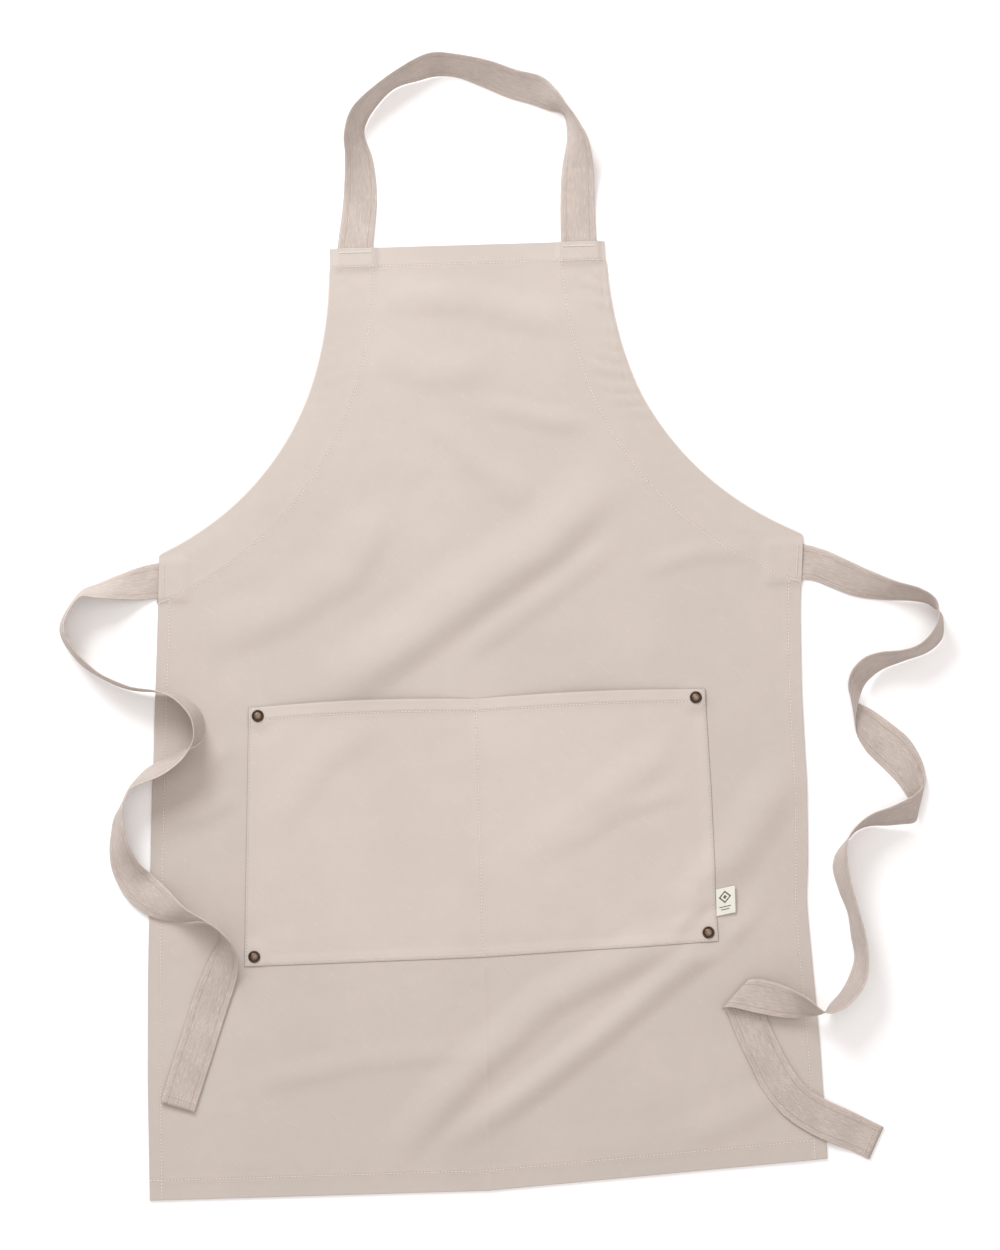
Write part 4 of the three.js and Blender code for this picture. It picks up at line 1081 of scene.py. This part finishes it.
class APRON_OT_facings(bpy.types.Operator):
    bl_idname = "apron.facings"
    bl_label = "Armhole facings"
    __doc__ = "Make the curved strips of cloth behind the armholes"

    def execute(self, context):
        material = twill_material("facing_twill", -0.5, ("rim_gap",), pale_edge="rim_gap")
        outer = np.vstack([ARMHOLE[ARMHOLE[:, 1] <= BODY_LENGTH - TOP_HEM + 1][::2],
                           [(float(cloth_half(np.array(float(FACING_FOOT)))), FACING_FOOT)]])
        ahead = np.gradient(outer, axis=0)
        ahead /= np.linalg.norm(ahead, axis=1)[:, None]
        inward = np.stack([ahead[:, 1], -ahead[:, 0]], axis=-1)
        inward[-1] = (-1, 0)
        inward[:, 0] = np.minimum(inward[:, 0], -0.2)
        steps = np.array([-1.2, -0.7, 0, 4, 8, 14, 20, 26, 32, 36, 38.5, 39.5, 40.5, 41])
        for word, side in (("left", -1), ("right", 1)):
            grid = outer[:, None, :] + inward[:, None, :] * steps[None, :, None]
            x, y = grid[..., 0] * side, grid[..., 1]
            on_body = np.clip(x, -LIE_REACH, LIE_REACH)
            px, py, pz = body_face(on_body, y)
            px = px + (x - on_body)
            face = place(px, py, np.maximum(pz - LAYER - 0.1, FLOOR_GAP + LAYER))
            rim_gap = FACING - steps[None, :] + 0 * x
            if side > 0:
                face, rim_gap = face[:, ::-1], rim_gap[:, ::-1]
            strip = sheet_object(f"armhole_facing_{word}_cloth", face[::-1], LAYER * 0.75 / 1000,
                                 [("rim_gap", rim_gap[::-1])])
            dress(strip, material, "apron", "twill", f"armhole_facing_{word}")
        return {"FINISHED"}


class APRON_OT_pocket(bpy.types.Operator):
    bl_idname = "apron.pocket"
    bl_label = "Pocket"
    __doc__ = "Make the wide pocket panel with its turned edges and gaping mouths"

    def execute(self, context):
        from_edge = (0, 0.4, 1.1, EDGE_SEAM, 2.6, 5, POCKET_HEM - 0.5, POCKET_HEM + 1, 12)
        marks = [-POCKET_BOTTOM_HALF + gap for gap in from_edge] + [-2.2, -0.8, 0, 0.8, 2.2]
        marks += [POCKET_BOTTOM_HALF - gap for gap in reversed(from_edge)]
        across = spaced(marks, POCKET_SPACING) / POCKET_BOTTOM_HALF
        foot, top = POCKET_FOOT_Y, POCKET_MOUTH_Y
        rows = [foot + gap for gap in from_edge]
        rows += [top - gap for gap in (MOUTH_HEM + 1, MOUTH_HEM, MOUTH_HEM - 1, 6, 2.5, 1, 0.35, 0)]
        y = spaced(rows, POCKET_SPACING)[:, None]
        x = across[None, :] * pocket_half(y)
        y = y + np.zeros_like(x)
        px, py, pz = pocket_face(x, y)
        edge = np.minimum(pocket_half(y) - np.abs(x), y - foot)
        outer_edge = np.minimum(edge, top - y)
        rounding = smooth(outer_edge / 0.9)
        pz = pz - 0.35 * (1 - rounding)
        thickness = POCKET_PRESSED * (0.9 + turned_edge(edge, y)) - 0.35 * (1 - rounding)
        sewn = [("edge_gap", seam_gap(edge - EDGE_SEAM)), ("mouth_gap", seam_gap(top - MOUTH_HEM - y)),
                ("divider_gap", seam_gap(x)), ("rim_gap", np.maximum(seam_gap(outer_edge), 0))]
        pocket = sheet_object("pocket_cloth", place(px, py, pz), thickness / 1000, sewn)
        # The pocket's cloth gets the painted shade line along its rim and mouth
        twill = twill_material("pocket_twill", 0.69, ("edge_gap", "mouth_gap", "divider_gap"),
                               painted_rim_shade="rim_gap", tone=1.065)
        dress(pocket, twill, "apron", "twill", "pocket_panel")
        return {"FINISHED"}


class APRON_OT_stitching(bpy.types.Operator):
    bl_idname = "apron.stitching"
    bl_label = "Stitching"
    __doc__ = "Sew the hems, the facings and the pocket"

    def execute(self, context):
        thread = thread_material()
        reach, top_y = BIB_HALF - 1.5, BODY_LENGTH - TOP_HEM
        top = sewn_line([(-reach, top_y), (reach, top_y)], body_face)
        stitches("top_hem_stitches", [top], thread, "top_hem_seam")
        reach = HEM_HALF - SEAM_INSET
        foot = sewn_line([(-reach, BOTTOM_HEM), (reach, BOTTOM_HEM)], body_face)
        stitches("bottom_hem_stitches", [foot], thread, "bottom_hem_seam")
        low_half, high_half = (float(cloth_half(np.array(float(y)))) for y in (2, FACING_FOOT))
        ahead = np.gradient(ARMHOLE, axis=0)
        ahead /= np.linalg.norm(ahead, axis=1)[:, None]
        inner = ARMHOLE + np.stack([ahead[:, 1], -ahead[:, 0]], axis=-1) * FACING
        inner = inner[inner[:, 1] < top_y]
        inner = np.vstack([[(inner[0][0], top_y)], inner, [(high_half - 1, FACING_FOOT)]])
        for word, side in (("left", -1), ("right", 1)):
            ends = [(side * (low_half - SIDE_HEM), 2), (side * (high_half - SIDE_HEM), FACING_FOOT)]
            hem = sewn_line(ends, body_face)
            stitches(f"side_hem_stitches_{word}", [hem], thread, f"side_hem_seam_{word}")
            facing = sewn_line(inner * (side, 1), body_face)
            stitches(f"facing_stitches_{word}", [facing], thread, f"facing_seam_{word}")
            mouth_y = POCKET_MOUTH_Y - MOUTH_HEM
            end = pocket_half(mouth_y) - 3
            mouth = sewn_line([(side * 1.5, mouth_y), (side * end, mouth_y)], pocket_face)
            stitches(f"pocket_mouth_stitches_{word}", [mouth], thread, f"pocket_mouth_seam_{word}")
        foot_y, mouth_y = POCKET_FOOT_Y + EDGE_SEAM, POCKET_MOUTH_Y - 1
        corners = [(side * (pocket_half(y) - EDGE_SEAM), y)
                   for side, y in ((-1, mouth_y), (-1, foot_y), (1, foot_y), (1, mouth_y))]
        edge = sewn_line(corners, pocket_face)
        matching = thread_material("pocket_thread", 0.80)
        stitches("pocket_edge_stitches", [edge], matching, "pocket_edge_seam")
        divider = sewn_line([(0, foot_y), (0, mouth_y)], pocket_face)
        stitches("pocket_divider_stitches", [divider], thread, "pocket_divider_seam")
        return {"FINISHED"}


class APRON_OT_bartacks(bpy.types.Operator):
    bl_idname = "apron.bartacks"
    bl_label = "Bartacks"
    __doc__ = "Sew the close bars of thread over the ends of the tapes"

    def execute(self, context):
        thread = thread_material("bartack_thread", 0.9)
        close = {"Pitch": 0.00055, "Length": 0.0021, "Width": 0.0006, "Turn": math.pi / 2}
        for word, side in (("left", -1), ("right", 1)):
            half, y = TAPE_WIDTH / 2 - SEAM_INSET, BODY_LENGTH - BARTACK_INSET
            middle = side * STRAP_CENTRE
            bar = sewn_line([(middle - half, y), (middle + half, y)], body_face)
            stitches(f"strap_bartack_stitches_{word}", [bar], thread, f"strap_bartack_{word}",
                     **close)
            x = side * (WAIST_HALF - BARTACK_INSET)
            bar = sewn_line([(x, TIE_MIDDLE - half), (x, TIE_MIDDLE + half)], body_face)
            stitches(f"tie_bartack_stitches_{word}", [bar], thread, f"tie_bartack_{word}", **close)
        return {"FINISHED"}


class APRON_OT_rivets(bpy.types.Operator):
    bl_idname = "apron.rivets"
    bl_label = "Rivets"
    __doc__ = "Make the four bronze rivet caps and finish their posts"

    def execute(self, context):
        bronze = bronze_material()
        profile = [(1.8, -0.02), (4.9, -0.02), (5.35, 0.25), (5.5, 0.62), (5.38, 0.98), (5.05, 1.22),
                   (4.68, 1.28), (4.36, 1.18), (4.16, 0.98), (3.98, 0.92), (3.72, 1.12), (3.3, 1.52),
                   (2.7, 1.88), (2.0, 2.07), (1.2, 2.16), (0.5, 2.2)]
        # How much lighter each ring of the profile is painted: rubbing on the high spots and a painted
        # highlight at the dome's top
        rub_and_highlight = [0, 0, 0, 0.05, 0.14, 0.2, 0.2, 0.1, 0, 0, 0.1, 0.42, 0.6, 0.72, 0.82, 0.9]
        turns = 48
        around = np.linspace(0, 2 * math.pi, turns, endpoint=False)
        for corner, (cx, cy, low) in RIVET_CENTRES.items():
            points, wear_and_highlight = [], []
            for (radius, rise), rub_and_light in zip(profile, rub_and_highlight):
                dent = 1 + 0.012 * np.sin(3 * around + cx) * (radius < 4)
                spread = radius * dent
                points.append(place(cx + spread * np.cos(around), cy + spread * np.sin(around), low + rise))
                wear_and_highlight += [rub_and_light] * turns
            points.append(place(np.array([cx, cx]), np.array([cy, cy]), np.array([low + 2.21, low - 0.02])))
            wear_and_highlight += [0.92, 0]
            faces, rings = [], len(profile)
            for r in range(rings - 1):
                for i in range(turns):
                    j = (i + 1) % turns
                    faces.append((r * turns + i, r * turns + j, (r + 1) * turns + j, (r + 1) * turns + i))
            tip, foot = rings * turns, rings * turns + 1
            for i in range(turns):
                j = (i + 1) % turns
                faces.append(((rings - 1) * turns + i, (rings - 1) * turns + j, tip))
                faces.append((j, i, foot))
            cap = mesh_object(f"rivet_cap_{corner}_bronze", np.concatenate(points), faces, [("rub_and_highlight", wear_and_highlight)])
            dress(cap, bronze, "apron", "bronze", f"rivet_cap_{corner}")
            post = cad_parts[f"rivet_post_{corner}"]
            post.data.materials.clear()
            post.data.materials.append(bronze)
        return {"FINISHED"}


class APRON_OT_label(bpy.types.Operator):
    bl_idname = "apron.label"
    bl_label = "Side label"
    __doc__ = "Make the small folded label that is caught in the pocket's side seam"

    def execute(self, context):
        low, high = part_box("side_label")
        wide, tall = high[0] - low[0], high[1] - low[1]
        u = np.linspace(0, 1, 25)[None, :]
        v = np.linspace(0, 1, 29)[:, None]
        u, v = u + 0 * v, v + 0 * u
        lean = math.radians(11)
        x = low[0] - 0.0004 + u * wide * math.cos(lean)
        y = (low[1] + high[1]) / 2 + (v - 0.5) * tall * 0.98 + u * wide * math.sin(lean) - 0.0018
        px, py = to_plan((x, y))
        curl = 0.0012 * u ** 1.6 + 0.0005 * np.sin(math.pi * v) * u
        z = (height(px, py) + 1.1) / 1000 + curl
        edge = np.minimum(np.minimum(u, 1 - u) * wide, np.minimum(v, 1 - v) * tall)
        thickness = 0.0003 + 0.0004 * smooth(edge / 0.0008)
        face = np.stack([x, y, z], axis=-1)
        label = sheet_object("side_label_cloth", face, thickness, uv=np.stack([u, v], axis=-1))
        dress(label, label_material(), "label", "label_cloth", "side_label")
        return {"FINISHED"}


STEPS = ("stage", "ties", "neck_strap", "body", "facings", "pocket", "stitching", "bartacks", "rivets",
         "label")


class APRON_PT_panel(bpy.types.Panel):
    bl_idname = "APRON_PT_panel"
    bl_label = "Bib apron"
    bl_space_type = "VIEW_3D"
    bl_region_type = "UI"
    bl_category = "Apron"

    def draw(self, context):
        for group in (context.scene.apron_sizes, context.scene.apron_colours):
            for name in group.__annotations__:
                self.layout.prop(group, name)
        for step in STEPS:
            self.layout.operator(f"apron.{step}")


CLASSES = (ApronSizes, ApronColours, APRON_OT_stage, APRON_OT_ties, APRON_OT_neck_strap,
           APRON_OT_body, APRON_OT_facings, APRON_OT_pocket, APRON_OT_stitching,
           APRON_OT_bartacks, APRON_OT_rivets, APRON_OT_label, APRON_PT_panel)


def register():
    for cls in CLASSES:
        bpy.utils.register_class(cls)
    bpy.types.Scene.apron_sizes = bpy.props.PointerProperty(type=ApronSizes)
    bpy.types.Scene.apron_colours = bpy.props.PointerProperty(type=ApronColours)


def unregister():
    del bpy.types.Scene.apron_colours
    del bpy.types.Scene.apron_sizes
    for cls in reversed(CLASSES):
        bpy.utils.unregister_class(cls)


def main():
    register()
    for step in STEPS:
        getattr(bpy.ops.apron, step)()


if __name__ == "__main__":
    main()
